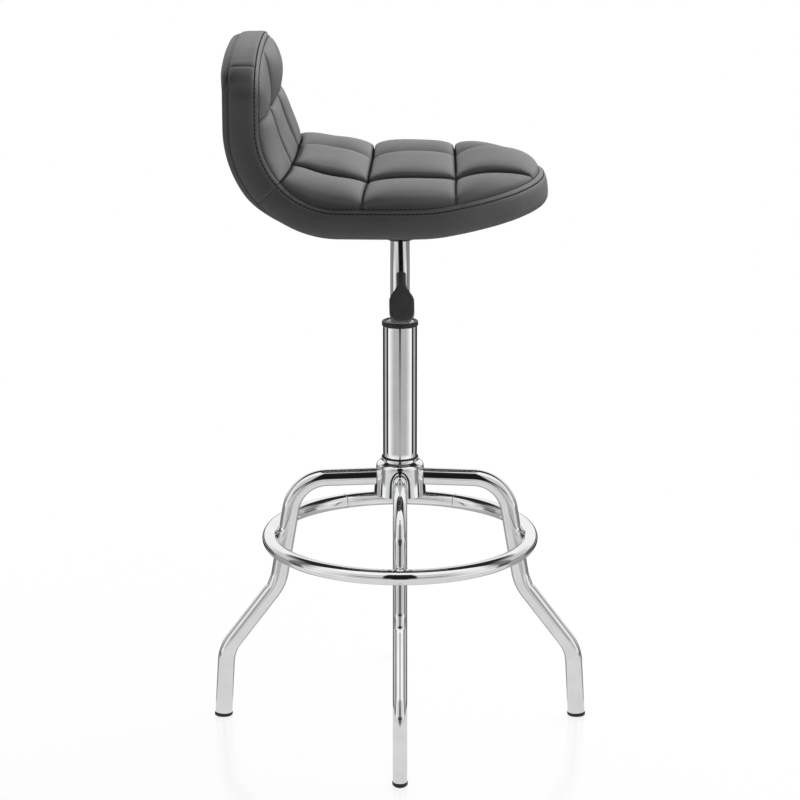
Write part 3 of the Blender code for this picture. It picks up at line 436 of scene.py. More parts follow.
def skin(rings, closed=False):
    """Points and faces over rings of equal length, which close on themselves or have flat ends."""
    count = len(rings[0])
    points = [p for ring in rings for p in ring]
    faces = []
    for k in range(len(rings) if closed else len(rings) - 1):
        one = k * count
        two = ((k + 1) % len(rings)) * count
        for i in range(count):
            j = (i + 1) % count
            faces.append((one + i, one + j, two + j, two + i))
    if not closed:
        faces.append(tuple(range(count)))
        faces.append(tuple(range(len(points) - count, len(points))))
    return points, faces


def skins(shells):
    """Points and faces over several runs of rings."""
    points = []
    faces = []
    for rings in shells:
        more_points, more_faces = skin(rings)
        faces += [tuple(i + len(points) for i in face) for face in more_faces]
        points += more_points
    return points, faces


def angles(count):
    return [math.tau * i / count for i in range(count)]


def oval(centre, one, two, count):
    """A ring of points round a centre, between two half axes."""
    return [centre + one * math.cos(a) + two * math.sin(a) for a in angles(count)]


def spoke(angle):
    return Vector((math.cos(angle), math.sin(angle), 0))


def filleted(corners, radii, steps, closed=False):
    """A path of points whose corners are rounded by arcs."""
    corners = [Vector(c) for c in corners]
    count = len(corners)
    path = []
    for i in range(count):
        if radii[i] == 0.0 or (not closed and i in (0, count - 1)):
            path.append(corners[i])
            continue
        come = (corners[i] - corners[i - 1]).normalized()
        go = (corners[(i + 1) % count] - corners[i]).normalized()
        turn = come.angle(go)
        start = corners[i] - come * radii[i] * math.tan(turn / 2)
        inward = (go - come * come.dot(go)).normalized()
        for k in range(steps + 1):
            a = turn * k / steps
            path.append(start + come * radii[i] * math.sin(a) + inward * radii[i] * (1 - math.cos(a)))
    return path


def turned(name, corners, radii, steps=128):
    """A closed profile of (radius, height) corners, rounded off and spun about Z."""
    profile = filleted([(r, 0, z) for r, z in corners], radii, 8, closed=True)
    rings = []
    for a in angles(steps):
        turn = Matrix.Rotation(a, 3, "Z")
        rings.append([turn @ p for p in profile])
    return mesh_from(name, *skin(rings, closed=True))


def resampled(path, spacing):
    """The path again with points about a spacing apart."""
    points = [path[0]]
    for one, two in zip(path, path[1:]):
        parts = max(1, round((two - one).length / spacing))
        points += [one.lerp(two, k / parts) for k in range(1, parts + 1)]
    return points


def directions(path):
    return [(path[min(i + 1, len(path) - 1)] - path[max(i - 1, 0)]).normalized() for i in range(len(path))]


def cut(piece, cutter_mesh, sharp):
    """Cut a closed mesh out of a piece, and keep the result as its own mesh."""
    cutter = link_object(cutter_mesh.name, cutter_mesh)
    step = piece.modifiers.new("cut", "BOOLEAN")
    step.object = cutter
    step.operation = "DIFFERENCE"
    step.material_mode = "TRANSFER" if cutter_mesh.materials else "INDEX"
    bpy.context.view_layer.update()
    shaped = bpy.data.meshes.new_from_object(piece.evaluated_get(bpy.context.evaluated_depsgraph_get()))
    piece.modifiers.clear()
    piece.data = shaped
    shaped.set_sharp_from_angle(angle=math.radians(sharp))
    bpy.data.objects.remove(cutter)


# Base

def leg_point(height):
    """The leg's centre line below the ankle."""
    return Vector((FOOT[0] + (ANKLE[0] - FOOT[0]) * height / ANKLE[1], 0, height))


def add_on_legs(name, rings, mat, node_name):
    for leg, angle in LEG_ANGLES.items():
        mesh = mesh_from(name, *skin(rings), sharp=60)
        mesh.transform(Matrix.Rotation(math.radians(angle), 4, "Z"))
        add_piece(name + "_" + leg, mesh, mat, "base", [node_name + "_" + leg])


def build_legs():
    """Oval tubes with a small pinch on the hollow side of the knee."""
    corners = [Vector((r, 0, z)) for r, z in (LEG_START, ARM_END, KNEE, ANKLE)]
    corners.append(leg_point(CAP_HEIGHT + CAP_GAP))
    path = resampled(filleted(corners, LEG_FILLETS, 20), 0.006)
    knee = min(path, key=lambda point: (point - corners[2]).length)
    rings = []
    for point, way in zip(path, directions(path)):
        across = Vector((way.z, 0, -way.x))
        along = (point - knee).dot(way) - PINCH_PLACE
        ring = []
        for a in angles(LEG_SIDES):
            side = LEG_WIDTH / 2 * math.sin(a)
            pinch = PINCH_DEPTH * math.exp(-(along / PINCH_LENGTH) ** 2 - (side / PINCH_WIDTH) ** 2)
            pinch *= max(-math.cos(a), 0.0) ** 0.5
            ring.append(point + across * (LEG_DEPTH / 2 * math.cos(a) + pinch) + Vector((0, side, 0)))
        rings.append(ring)
    add_on_legs("leg_tube", rings, CHROME, "leg")


def build_foot_caps():
    """Black caps with a rounded lip and a soft edge to the sole."""
    stages = [(0.0, -0.0025), (0.0003, -0.0012), (0.0012, 0.0), (0.0022, CAP_LIP), (0.0052, CAP_LIP),
              (0.0058, CAP_LIP * 0.7), (CAP_HEIGHT, 0.0)]
    rings = [oval(leg_point(height), Vector((LEG_DEPTH / 2 + grow, 0, 0)), Vector((0, LEG_WIDTH / 2 + grow, 0)),
                  LEG_SIDES) for height, grow in stages]
    add_on_legs("leg_cap", rings, BLACK_PLASTIC, "foot_cap")


def build_foot_ring():
    rings = [oval(spoke(a) * RING_R + UP * RING_Z, spoke(a) * RING_TUBE_R, UP * RING_TUBE_R, 40)
             for a in angles(240)]
    add_piece("foot_hoop", mesh_from("foot_hoop", *skin(rings, closed=True)), CHROME, "base", ["foot_ring"])


def build_hoop_joints():
    """The two faint rings on the rear of the hoop where its halves meet."""
    for name, side in (("left", -1), ("right", 1)):
        out = spoke(math.radians(90 - side * RING_JOINT_ANGLE))
        along = Vector((-out.y, out.x, 0))
        rings = []
        for ray in oval(Vector(), out, UP, 48):
            centre = out * RING_R + UP * RING_Z + ray * RING_TUBE_R
            rings.append(oval(centre, along * 0.0009, ray * 0.00045, 10))
        mesh = mesh_from("hoop_joint", *skin(rings, closed=True))
        add_piece("hoop_joint_" + name, mesh, WELD, "base")


def build_ring_welds():
    """A short bead on top of the hoop and one beneath it, where it touches each leg."""
    for name, angle in LEG_ANGLES.items():
        for level, lean in (("upper", 1), ("lower", -1)):
            bm = bmesh.new()
            bmesh.ops.create_icosphere(bm, subdivisions=4, radius=1.0)
            for vert in bm.verts:
                vert.co *= 1 + 0.12 * noise.noise(vert.co * 2.3 + Vector((angle, lean, 0)))
            mesh = mesh_of("ring_weld", bm)
            mesh.shade_smooth()
            radius = RING_R - RING_TUBE_R * 0.86 - 0.0016 * lean
            place = Vector((radius, 0, RING_Z + lean * RING_TUBE_R * 0.62))
            mesh.transform(Matrix.Translation(place) @ Matrix.Diagonal((*RING_WELD_SIZE, 1)))
            mesh.transform(Matrix.Rotation(math.radians(angle), 4, "Z"))
            add_piece("ring_weld_" + level + "_" + name, mesh, WELD, "base")


def arch_mesh():
    """Four grooves that follow an arch round each leg, up one side, over its head and down the other, with a
    dark finish on their walls that paints the shade in them.
    """
    spans = []
    for half, top in ((ARCH_HALF_WIDTH, ARCH_TOP_Z),
                      (ARCH_HALF_WIDTH - ARCH_GROOVE[0], ARCH_TOP_Z - ARCH_GROOVE[1])):
        line = [(half, HUB_BOTTOM_Z - 0.002)]
        for k in range(41):
            a = math.pi * k / 40
            line.append((0.95 * half * math.cos(a), ARCH_SPRING_Z + (top - ARCH_SPRING_Z) * math.sin(a)))
        spans.append(line + [(-half, HUB_BOTTOM_Z - 0.002)])
    shells = []
    for angle in LEG_ANGLES.values():
        turn = Matrix.Rotation(math.radians(angle), 3, "Z")
        rings = []
        for (y_out, z_out), (y_in, z_in) in zip(*spans):
            corners = ((ARCH_FLOOR_R, y_out, z_out), (ARCH_OUTER_R, y_out, z_out),
                       (ARCH_OUTER_R, y_in, z_in), (ARCH_FLOOR_R, y_in, z_in))
            rings.append([turn @ Vector(corner) for corner in corners])
        shells.append(rings)
    mesh = mesh_from("hub_arches", *skins(shells))
    # The groove walls take this dark finish as painted shade
    mesh.materials.append(SHADED_RECESS_FINISH)
    return mesh


def add_turned(name, profile, mat, body, node_name, steps=128):
    """A turned piece, by the radius, height and fillet of each corner of its profile."""
    corners = [(r, z) for r, z, _ in profile]
    mesh = turned(name, corners, [fillet for _, _, fillet in profile], steps)
    return add_piece(name, mesh, mat, body, [node_name] if node_name else ())


def build_hub():
    """The turned socket with an arch cut round each leg, and a thin black ring on its collar that paints the
    dark line of shade there.
    """
    hub = add_turned("hub_socket", [
        (COLUMN_FOOT_R + 0.0002, HUB_BOTTOM_Z, 0), (0.0252, COLLAR_TOP_Z, 0.0003),
        (COLLAR_R, COLLAR_TOP_Z, 0.0008),
        (COLLAR_R, HUB_TOP_Z + 0.0034, 0.0015), (HUB_TOP_R, HUB_TOP_Z - 0.0008, 0.0078),
        (HUB_BOTTOM_R, HUB_BOTTOM_Z, 0.0016)], CHROME, "base", "base_hub", steps=160)
    cut(hub, arch_mesh(), 35)
    # Painted shade: a thin black ring on top of the collar stands in for the dark line of shade at its gap
    # round the column
    add_turned("collar_shade_ring", [
        (COLLAR_BORE_R, SHADE_RING_LOW_Z, 0), (COLLAR_BORE_R, SHADE_RING_TOP_Z, 0.0003),
        (COLLAR_R - 0.0001, SHADE_RING_TOP_Z, 0.0005), (COLLAR_R - 0.0001, SHADE_RING_LOW_Z, 0.0003)],
        RUBBER, "base", None)


def build_column():
    inner = COLUMN_R - COLUMN_WALL
    add_turned("column_sleeve", [
        (COLUMN_FOOT_R - COLUMN_WALL, COLUMN_FOOT_Z, 0), (inner, COLUMN_TAPER_TOP_Z, COLUMN_TAPER_FILLET),
        (inner, COLUMN_TOP_Z, 0), (COLUMN_R, COLUMN_TOP_Z, 0.0004), (COLUMN_R, COLUMN_TOP_Z - 0.0012, 0),
        (COLUMN_R, COLUMN_TAPER_TOP_Z + 0.004, 0), (COLUMN_R, COLUMN_TAPER_TOP_Z, COLUMN_TAPER_FILLET),
        (COLUMN_FOOT_R, COLUMN_FOOT_Z, 0)], CHROME, "base", "column_tube")
    low = COLUMN_TOP_Z + 0.0003
    add_turned("column_collar", [
        (TOP_RING_BORE_R, low - TOP_RING_SKIRT, 0), (TOP_RING_BORE_R, TOP_RING_TOP_Z - 0.0012, 0.0004),
        (TOP_RING_BORE_R + 0.001, TOP_RING_TOP_Z, 0.0006), (TOP_RING_R, TOP_RING_TOP_Z, 0.0018),
        (TOP_RING_R, low, 0.0008), (BUSH_R, low, 0), (BUSH_R, low - TOP_RING_SKIRT, 0)],
        BLACK_PLASTIC, "base", "column_top_ring")
    bore = CYLINDER_R + CYLINDER_GAP
    add_turned("bush_sleeve", [
        (bore, BUSH_TOP_Z - BUSH_LENGTH, 0), (bore, BUSH_TOP_Z, 0.0016), (BUSH_NECK_R, BUSH_TOP_Z, 0.0009),
        (BUSH_NECK_R, BUSH_NECK_Z, 0), (BUSH_R, BUSH_NECK_Z, 0), (BUSH_R, BUSH_TOP_Z - BUSH_LENGTH, 0)],
        GREY_PLASTIC, "base", "guide_bush")


def build_cylinder():
    add_turned("cylinder_tube", [
        (CYLINDER_BORE_R, CYLINDER_BOTTOM_Z, 0), (CYLINDER_BORE_R, CYLINDER_TOP_Z, 0),
        (CYLINDER_TOP_R, CYLINDER_TOP_Z, 0.0004), (CYLINDER_R, BOSS_BOTTOM_Z, 0),
        (CYLINDER_R, CYLINDER_BOTTOM_Z, 0.0012)], CHROME, "seat", "gas_cylinder")


def build_boss():
    """The pressed housing under the seat: a dome that meets the cylinder, slotted for the lever."""
    boss = add_turned("boss_housing", [
        (CYLINDER_R + CYLINDER_GAP, BOSS_BOTTOM_Z, 0.0004), (BOSS_BORE_R, CYLINDER_TOP_Z, 0),
        (BOSS_BORE_R, BOSS_TOP_Z, 0), (BOSS_R, BOSS_TOP_Z, 0.0008), (BOSS_R, BOSS_BOTTOM_Z + 0.001, 0.005),
        (BOSS_R - 0.004, BOSS_BOTTOM_Z, 0.0016)], PAINT, "seat", "seat_boss")
    slot = bmesh.new()
    size = (2 * (LEVER_ROD_R + LEVER_SLOT_GAP), 0.05, 0.03)
    place = Matrix.Translation((0, -size[1] / 2, LEVER_PIVOT.z + 0.0055))
    bmesh.ops.create_cube(slot, size=1.0, matrix=place @ Matrix.Diagonal((*size, 1)))
    cut(boss, mesh_of("boss_slot", slot), 40)


# Lever

def leaned(point):
    """The lever leans a little to one side on its way out."""
    return point + Vector((LEVER_LEAN * max(-point.y - 0.006, 0.0), 0, 0))


def build_lever():
    """A bent bar, a little slimmer where it lies over the release pin."""
    corners = [Vector((0, LEVER_INNER, 0)), LEVER_BEND, LEVER_BEND + LEVER_DOWN * LEVER_DROP]
    path = resampled(filleted(corners, (0, LEVER_BEND_R, 0), 14), 0.006)
    rings = []
    for point, way in zip(path, directions(path)):
        radius = LEVER_ROD_R - LEVER_SLIMMING * eased((point.y - 0.012) / 0.008)
        rings.append(oval(LEVER_PIVOT + leaned(point), Vector((radius, 0, 0)),
                          Vector((0, -way.z, way.y)) * radius, 28))
    add_piece("lever_bar", mesh_from("lever_bar", *skin(rings), sharp=60), PAINT, "lever", ["lever_rod"])


def paddle_half_width(along):
    half = between(SHANK_HALF_WIDTH, GRIP_HALF_WIDTH, eased((along - 0.020) / 0.026))
    end = max((along - PADDLE_LENGTH + 0.020) / 0.020, 0.0)
    return half * (1 - 0.5 * end ** 2.8)


def build_paddle():
    """A flat grip with softened edges that grows out of a round shank and ends in a thick lip."""
    face = Vector((0, -LEVER_DOWN.z, LEVER_DOWN.y))
    steps = 72
    rings = []
    for k in range(steps + 1):
        along = PADDLE_LENGTH * (1 - (1 - k / steps) ** 1.5)
        tip = max((along - PADDLE_LENGTH + 0.0018) / 0.0018, 0.0)
        head = max(1 - along / 0.0015, 0.0)
        thick = between(SHANK_HALF_THICK, GRIP_HALF_THICK, np.clip((along - 0.016) / 0.028, 0, 1))
        thick *= 1 - 0.35 * head - 0.3 * tip ** 2
        half = paddle_half_width(along) - (0.0012 * head + 0.0014 * tip ** 2)
        box = 2 + 4 * np.clip((along - 0.02) / 0.02, 0, 1)
        centre = LEVER_PIVOT + leaned(LEVER_BEND + LEVER_DOWN * (PADDLE_START + along))
        ring = []
        for a in angles(48):
            c = math.copysign(abs(math.cos(a)) ** (2 / box), math.cos(a))
            s = math.copysign(abs(math.sin(a)) ** (2 / box), math.sin(a))
            ring.append(centre + Vector((half * c, 0, 0)) + face * thick * s)
        rings.append(ring)
    mesh = mesh_from("lever_grip", *skin(rings), sharp=50)
    add_piece("lever_grip", mesh, PADDLE_PLASTIC, "lever", ["lever_paddle"])


# Seat: points by a run along the seam's middle line, a side and a height

INCLINE = math.atan2(NOSE_RISE, NOSE_X - INCLINE_START_X)
INCLINE_FOOT_X = INCLINE_START_X - INCLINE_BEND_R * math.tan(INCLINE / 2)
RAMP = math.hypot(NOSE_RISE, NOSE_X - INCLINE_START_X) - INCLINE_BEND_R * math.tan(INCLINE / 2)
EASE = INCLINE_BEND_R * INCLINE
LEVEL = INCLINE_FOOT_X - (BACK_X + BACK_BEND_R)
BEND = BACK_BEND_R * math.pi / 2
BEND_START = RAMP + EASE + LEVEL
SPINE = BEND_START + BEND + BACK_TOP_Z - SEAT_LEVEL_Z - BACK_BEND_R
TOP_START = SPINE - TOP_ROUND
CREASE = BEND_START + BACK_BEND_R * CREASE_ANGLE
ROW = CREASE / SEAT_ROWS
BACK_MID = CREASE + (SPINE - CREASE) * BACK_SHARE
BAND_JOINS = (CREASE + CREASE_BOW, SPINE - TOP_JOIN)


def spine(runs):
    """Places and upward directions at runs along the seam's middle line."""
    runs = np.asarray(runs, float)
    lean = INCLINE * np.clip(1 - (runs - RAMP) / EASE, 0, 1)
    turn = np.clip((runs - BEND_START) / BACK_BEND_R, 0, math.pi / 2)
    slope = np.clip(RAMP - runs, 0, None)
    x = INCLINE_FOOT_X + INCLINE_BEND_R * np.sin(lean) + slope * math.cos(INCLINE)
    x = x - np.clip(runs - RAMP - EASE, 0, LEVEL) - BACK_BEND_R * np.sin(turn)
    z = SEAT_LEVEL_Z + INCLINE_BEND_R * (1 - np.cos(lean)) + slope * math.sin(INCLINE)
    z = z + BACK_BEND_R * (1 - np.cos(turn)) + np.clip(runs - BEND_START - BEND, 0, None)
    return x, z, np.sin(turn) - np.sin(lean), np.where(turn > 0, np.cos(turn), np.cos(lean))


def on_seat(places, heights):
    x, z, up_x, up_z = spine(places[:, 0])
    return np.stack([x + up_x * heights, places[:, 1], z + up_z * heights], axis=1)


def half_width(run, inset=0.0):
    if run < NOSE_LENGTH:
        share = (NOSE_LENGTH - run) / (NOSE_LENGTH - inset)
        return (SEAT_HALF_WIDTH - inset) * math.sqrt(max(1 - share ** 2, 0.0))
    if run > TOP_START:
        share = (run - TOP_START) / (TOP_ROUND - inset)
        return (BACK_HALF_WIDTH - inset) * max(1 - share ** TOP_POWER, 0.0) ** (1 / TOP_POWER)
    share = (run - NOSE_LENGTH) / (TOP_START - NOSE_LENGTH)
    return SEAT_HALF_WIDTH + (BACK_HALF_WIDTH - SEAT_HALF_WIDTH) * share * share * (3 - 2 * share) - inset


def half_widths(runs):
    return np.array([half_width(run) for run in runs])


def outline_side(inset, low, high, spacing=0.003):
    """Points (run, side) up the left side of the outline between two runs, evenly spaced."""
    shares = np.linspace(0, 1, 401)
    quarter = math.pi / 2 * shares
    raw = np.concatenate([NOSE_LENGTH - (NOSE_LENGTH - inset) * np.cos(quarter),
                          NOSE_LENGTH + (TOP_START - NOSE_LENGTH) * shares[1:],
                          TOP_START + (TOP_ROUND - inset) * np.sin(quarter[1:]) ** (2 / TOP_POWER)])
    raw = [low] + [run for run in raw if low < run < high] + [high]
    path = np.array([(run, half_width(run, inset)) for run in raw])
    lengths = np.concatenate([[0], np.cumsum(np.linalg.norm(np.diff(path, axis=0), axis=1))])
    even = np.linspace(0, lengths[-1], max(2, round(lengths[-1] / spacing) + 1))
    return np.stack([np.interp(even, lengths, path[:, 0]), np.interp(even, lengths, path[:, 1])], axis=1)


def whole_loop(left):
    """A left side and its mirror image, as one closed loop."""
    return np.concatenate([left, (left * (1, -1))[::-1][1:-1]])


def near_outline(places, outline):
    """Distance of each (run, side) place from an open outline."""
    best = np.full(len(places), 1.0)
    for one, two in zip(outline[:-1], outline[1:]):
        way = two - one
        share = np.clip(((places - one) @ way) / max(way @ way, 1e-12), 0, 1)
        best = np.minimum(best, np.linalg.norm(places - (one + share[:, None] * way), axis=1))
    return best


def rounded(share, power):
    share = np.clip(share, 0, 1)
    return (1 - (1 - share) ** power) ** (1 / power)


def pillow(share, low_power, high_power):
    """A pillow over a share from 0 to 1, with its own roundness at either end."""
    share = np.clip(share, 0, 1)
    return np.where(share < 0.5, rounded(2 * share, low_power), rounded(2 - 2 * share, high_power))


def eased(share):
    share = np.clip(share, 0, 1)
    return share * share * (3 - 2 * share)


def fading(distance, width):
    """From 1 at no distance to 0 at a width."""
    return np.clip(1 - distance / width, 0, 1)


def between(low, high, share):
    return low + (high - low) * share


def bowed(places):
    """Slide places a little along the seat, as the cross seams bow back and lie slightly askew."""
    runs, sides = places[:, 0], places[:, 1]
    stops = (0.0, ROW, 2 * ROW, CREASE, CREASE + BOW_END)
    share = sides / BOW_SIDE
    moved = runs + np.interp(runs, stops, SEAM_BOW) * share * share - np.interp(runs, stops, SEAM_SKEW) * share
    before = half_widths(runs)
    scale = np.where(before > 0.05, half_widths(moved) / np.maximum(before, 0.05), 1.0)
    return np.stack([moved, sides * scale], axis=1)


def seam_gap(places, back):
    """Distance from the nearest sewn channel, or from the crease."""
    rows = (CREASE, BACK_MID) if back else (ROW, 2 * ROW, CREASE)
    across = np.min([np.abs(places[:, 0] - row) for row in rows], axis=0)
    return np.minimum(np.abs(np.abs(places[:, 1]) - CHANNEL_Y), across)


def back_form(runs, sides, outer):
    """The back's swell along each row, its two crests, the middle's roundness and the width of its edge."""
    lower = pillow((runs - CREASE) / (BACK_MID - CREASE), CREASE_POWER, ALONG_POWER)
    upper = rounded(2 * (runs - BACK_MID) / (SPINE - BACK_MID), ALONG_POWER)
    up = eased((runs - BACK_MID) / BACK_MID_EASE + 0.5)
    middle_crest = between(LOWER_BACK_CREST, BACK_CREST, up) + UPPER_BACK_SLOPE * np.minimum(sides, 0) * up
    outer_crest = between(LOWER_BACK_OUTER_CREST, BACK_OUTER_CREST, up) + BACK_TILT * np.sign(sides)
    return (np.where(runs < BACK_MID, lower, upper), middle_crest, outer_crest,
            between(ACROSS_POWER, UPPER_ACROSS_POWER, up), between(BACK_EDGE_WIDTH, BACK_SIDE_WIDTH, outer))


def seat_form(runs, sides, outer):
    """The same for the seat, whose first row has no seam at the nose."""
    share = runs / ROW
    power = between(ALONG_POWER, FAR_ALONG_POWER, outer * (sides > 0))
    along = np.where(share < 2, pillow(share % 1.0, power, power), pillow(share - 2, power, CREASE_POWER))
    fill = REAR_FILL * eased((share - 2) / 0.4)
    outer_crest = OUTER_CREST + OUTER_TILT * np.sign(sides) + fill * np.where(sides > 0, 1.0, NEAR_REAR_FILL)
    nose = fading(runs, NOSE_EDGE_RUN) * np.clip(1.5 + sides / 0.1, 0, 1)
    return (np.where(share < 0.5, 1.0, along), SEAT_CREST + SEAT_TILT * sides + fill, outer_crest, ACROSS_POWER,
            between(EDGE_WIDTH, NOSE_EDGE_WIDTH, nose))


def pad_height(places, edge, back):
    """Height of the quilted panel over the seam, and how much painted shade it takes in the channels and
    crease, with dark lines at the edge seam and the strip.
    """
    runs = places[:, 0]
    sides = np.abs(places[:, 1])
    outer = eased((sides - CHANNEL_Y) / CHANNEL_EASE + 0.5)
    form = back_form if back else seat_form
    along, middle_crest, outer_crest, middle_power, slope = form(runs, places[:, 1], outer)
    outer_power = BACK_ACROSS_POWER if back else OUTER_ACROSS_POWER
    to_crease = fading(np.abs(runs - CREASE), CREASE_REACH)
    channel = between(BACK_CHANNEL if back else SEAT_CHANNEL, CREASE_HEIGHT, to_crease)
    rise = between(CROSS_RISE, CREASE_RISE, to_crease)
    across = np.where(sides < CHANNEL_Y, rounded(1 - sides / CHANNEL_Y, middle_power),
                      rounded((sides - CHANNEL_Y) / CHANNEL_Y, outer_power))
    puff = (1 - rise - LANE_RISE) * along * across + rise * across + LANE_RISE * along
    pad = between(channel, between(middle_crest, outer_crest, outer), puff)
    edge_power = BACK_EDGE_POWER if back else EDGE_POWER
    body = between(STRIP_HEIGHT - STRIP_DENT, pad, rounded((edge - STRIP) / slope, edge_power))
    dent = STRIP_DENT * np.clip((edge / STRIP - 0.8) / 0.2, 0, 1) ** 2
    strip = STRIP_HEIGHT * rounded(edge / STRIP, STRIP_POWER) - dent - SEAM_DEPTH * fading(edge, SEAM_WIDTH)
    # Painted shade: darken the colour along the sewn channels and the crease, and as dark lines at the edge
    # seam and the strip's dent
    seam_and_shade = np.where(edge < STRIP, 0.0, np.clip(1.3 - 1.3 * seam_gap(places, back) / CHANNEL_SHADE_WIDTH, 0, 1))
    seam_and_shade = seam_and_shade + fading(edge, 0.0006) + 0.2 * fading(np.abs(edge - STRIP), 0.0010)
    return np.where(edge < STRIP, strip, body), np.clip(seam_and_shade, 0, 1)


def rim_rings(outline):
    """The open outline and copies of it set further and further in, with their ends on the crease."""
    way = np.gradient(outline, axis=0)
    way /= np.linalg.norm(way, axis=1)[:, None]
    inward = np.stack([-way[:, 1], way[:, 0]], axis=1)
    inward *= np.sign(((outline.mean(axis=0) - outline) * inward).sum(axis=1).mean())
    rings = []
    for inset in RIM_INSETS:
        ring = outline + inward * inset
        ring[[0, -1], 0] = outline[[0, -1], 0]
        rings.append(ring)
    return rings


def lines_along(runs, sides):
    """Places over every pair of a run and a side."""
    return np.stack([array.ravel() for array in np.meshgrid(runs, sides, indexing="ij")], axis=1)


def staggered(low, high, pitch):
    """Rows of places across the seat, every other row shifted by half a pitch."""
    sides = np.arange(-GRID_HALF_WIDTH, GRID_HALF_WIDTH, pitch)
    runs = np.arange(low, high, pitch * math.sqrt(3) / 2)
    return np.concatenate([lines_along([run], sides + k % 2 * pitch / 2) for k, run in enumerate(runs)])


def crowded(place, cells, least):
    cell = (int(place[0] // least), int(place[1] // least))
    return cell, any((cell[0] + i, cell[1] + j) in cells for i in (-1, 0, 1) for j in (-1, 0, 1))


def thinned(places, least):
    """Places with any that lie within a distance of an earlier one left out."""
    kept = {}
    for place in places:
        cell, close = crowded(place, kept, least)
        if not close:
            kept[cell] = place
    return np.array(list(kept.values()))


def far_from(places, others, least):
    cells = {crowded(other, (), least)[0] for other in others}
    return np.array([place for place in places if not crowded(place, cells, least)[1]])


def inner_places(low, high, outline, back):
    """Places inside the rim: close rows by the channels and a staggered grid elsewhere."""
    sides = np.arange(-GRID_HALF_WIDTH, GRID_HALF_WIDTH, CHANNEL_SPACING)
    runs = np.arange(low, high, CHANNEL_SPACING)
    rows = [BACK_MID, low] if back else [ROW, 2 * ROW, high]
    lines = [lines_along([row + offset], sides) for row in rows for offset in CHANNEL_ROWS]
    lines += [lines_along(runs, [side * (CHANNEL_Y + offset)]) for side in (-1, 1) for offset in CHANNEL_ROWS]
    lines = np.concatenate(lines)
    grid = far_from(staggered(low, high, PAD_PITCH), lines, 0.0035)
    places = np.concatenate([thinned(lines, 0.0005), grid])
    inside = (places[:, 0] > low + 0.0008) & (places[:, 0] < high - 0.0008)
    places = places[inside & (np.abs(places[:, 1]) < half_widths(places[:, 0]))]
    return places[near_outline(places, outline) > RIM_INSETS[-1] + 0.0015]


def triangles_in(border, inside):
    """Triangles over a closed border and the places inside it."""
    edges = [(i, (i + 1) % len(border)) for i in range(len(border))]
    flat = [Vector(p) for p in np.concatenate([border, inside])]
    return geometry.delaunay_2d_cdt(flat, edges, [], 1, 1e-6)


def rim_edges(faces):
    """Edges used by one face only."""
    seen = {}
    for face in faces:
        for one, two in zip(face, face[1:] + face[:1]):
            key = (min(one, two), max(one, two))
            seen[key] = seen.get(key, 0) + 1
    return [edge for edge, uses in seen.items() if uses == 1]


# Store how much painted shade and seam darkening each point takes, for the leather's colour
def mark_seam_and_shade(mesh, seam_and_shade_levels):
    mark = mesh.attributes.new("seam_and_shade", "FLOAT", "POINT")
    mark.data.foreach_set("value", seam_and_shade_levels.astype(np.float32))


def padded_skin(name, one_side, other_side, faces, seam_and_shade_levels, sharp):
    """A closed mesh of two sides with the same faces and walls round their rim."""
    size = len(one_side)
    walls = [(one, two, two + size, one + size) for one, two in rim_edges(faces)]
    faces = faces + [tuple(i + size for i in face) for face in faces] + walls
    mesh = mesh_from(name, np.concatenate([one_side, other_side]).tolist(), faces, sharp)
    mark_seam_and_shade(mesh, seam_and_shade_levels)
    return mesh


def panel_mesh(name, back):
    """A closed pad of quilted top, flat floor and walls, and how firmly each of its points is held."""
    low, high = (CREASE + CREASE_GAP, SPINE) if back else (0.0, CREASE - CREASE_GAP)
    left = outline_side(0.0, low, high, PAD_RIM_SPACING)
    right = (left * (1, -1))[::-1]
    outline = np.concatenate([left, right[1:]] if back else [right, left[1:]])
    rings = rim_rings(outline)
    count = len(outline)
    last = (len(rings) - 1) * count
    faces = []
    for one in range(last):
        if one % count < count - 1:
            faces.append((one, one + 1, one + count + 1, one + count))
    start, end = rings[-1][-1], rings[-1][0]
    parts = round(np.linalg.norm(end - start) / CHANNEL_SPACING)
    chord = np.array([start + (end - start) * k / parts for k in range(1, parts)])
    found = triangles_in(np.concatenate([rings[-1], chord]), inner_places(low, high, outline, back))
    index = {}
    points = list(np.concatenate(rings))
    for k, (place, origin) in enumerate(zip(found[0], found[3])):
        on_rim = [i for i in origin if i < count]
        index[k] = last + on_rim[0] if on_rim else len(points)
        if not on_rim:
            points.append(np.array(place))
    faces += [tuple(index[i] for i in face) for face in found[2]]
    points = np.array(points)
    edge = np.concatenate([np.repeat(RIM_INSETS, count), near_outline(points[last + count:], outline)])
    heights, seam_and_shade = pad_height(points, edge, back)
    held = np.clip(1.35 - np.minimum(seam_gap(points, back), edge - STRIP) / HELD_WIDTH, 0, 1)
    points = bowed(points)
    seam_and_shade_levels = np.concatenate([seam_and_shade, np.zeros(len(points))])
    mesh = padded_skin(name, on_seat(points, heights), on_seat(points, PAD_FLOOR), faces, seam_and_shade_levels, 80)
    return mesh, np.concatenate([held, np.ones(len(points))])


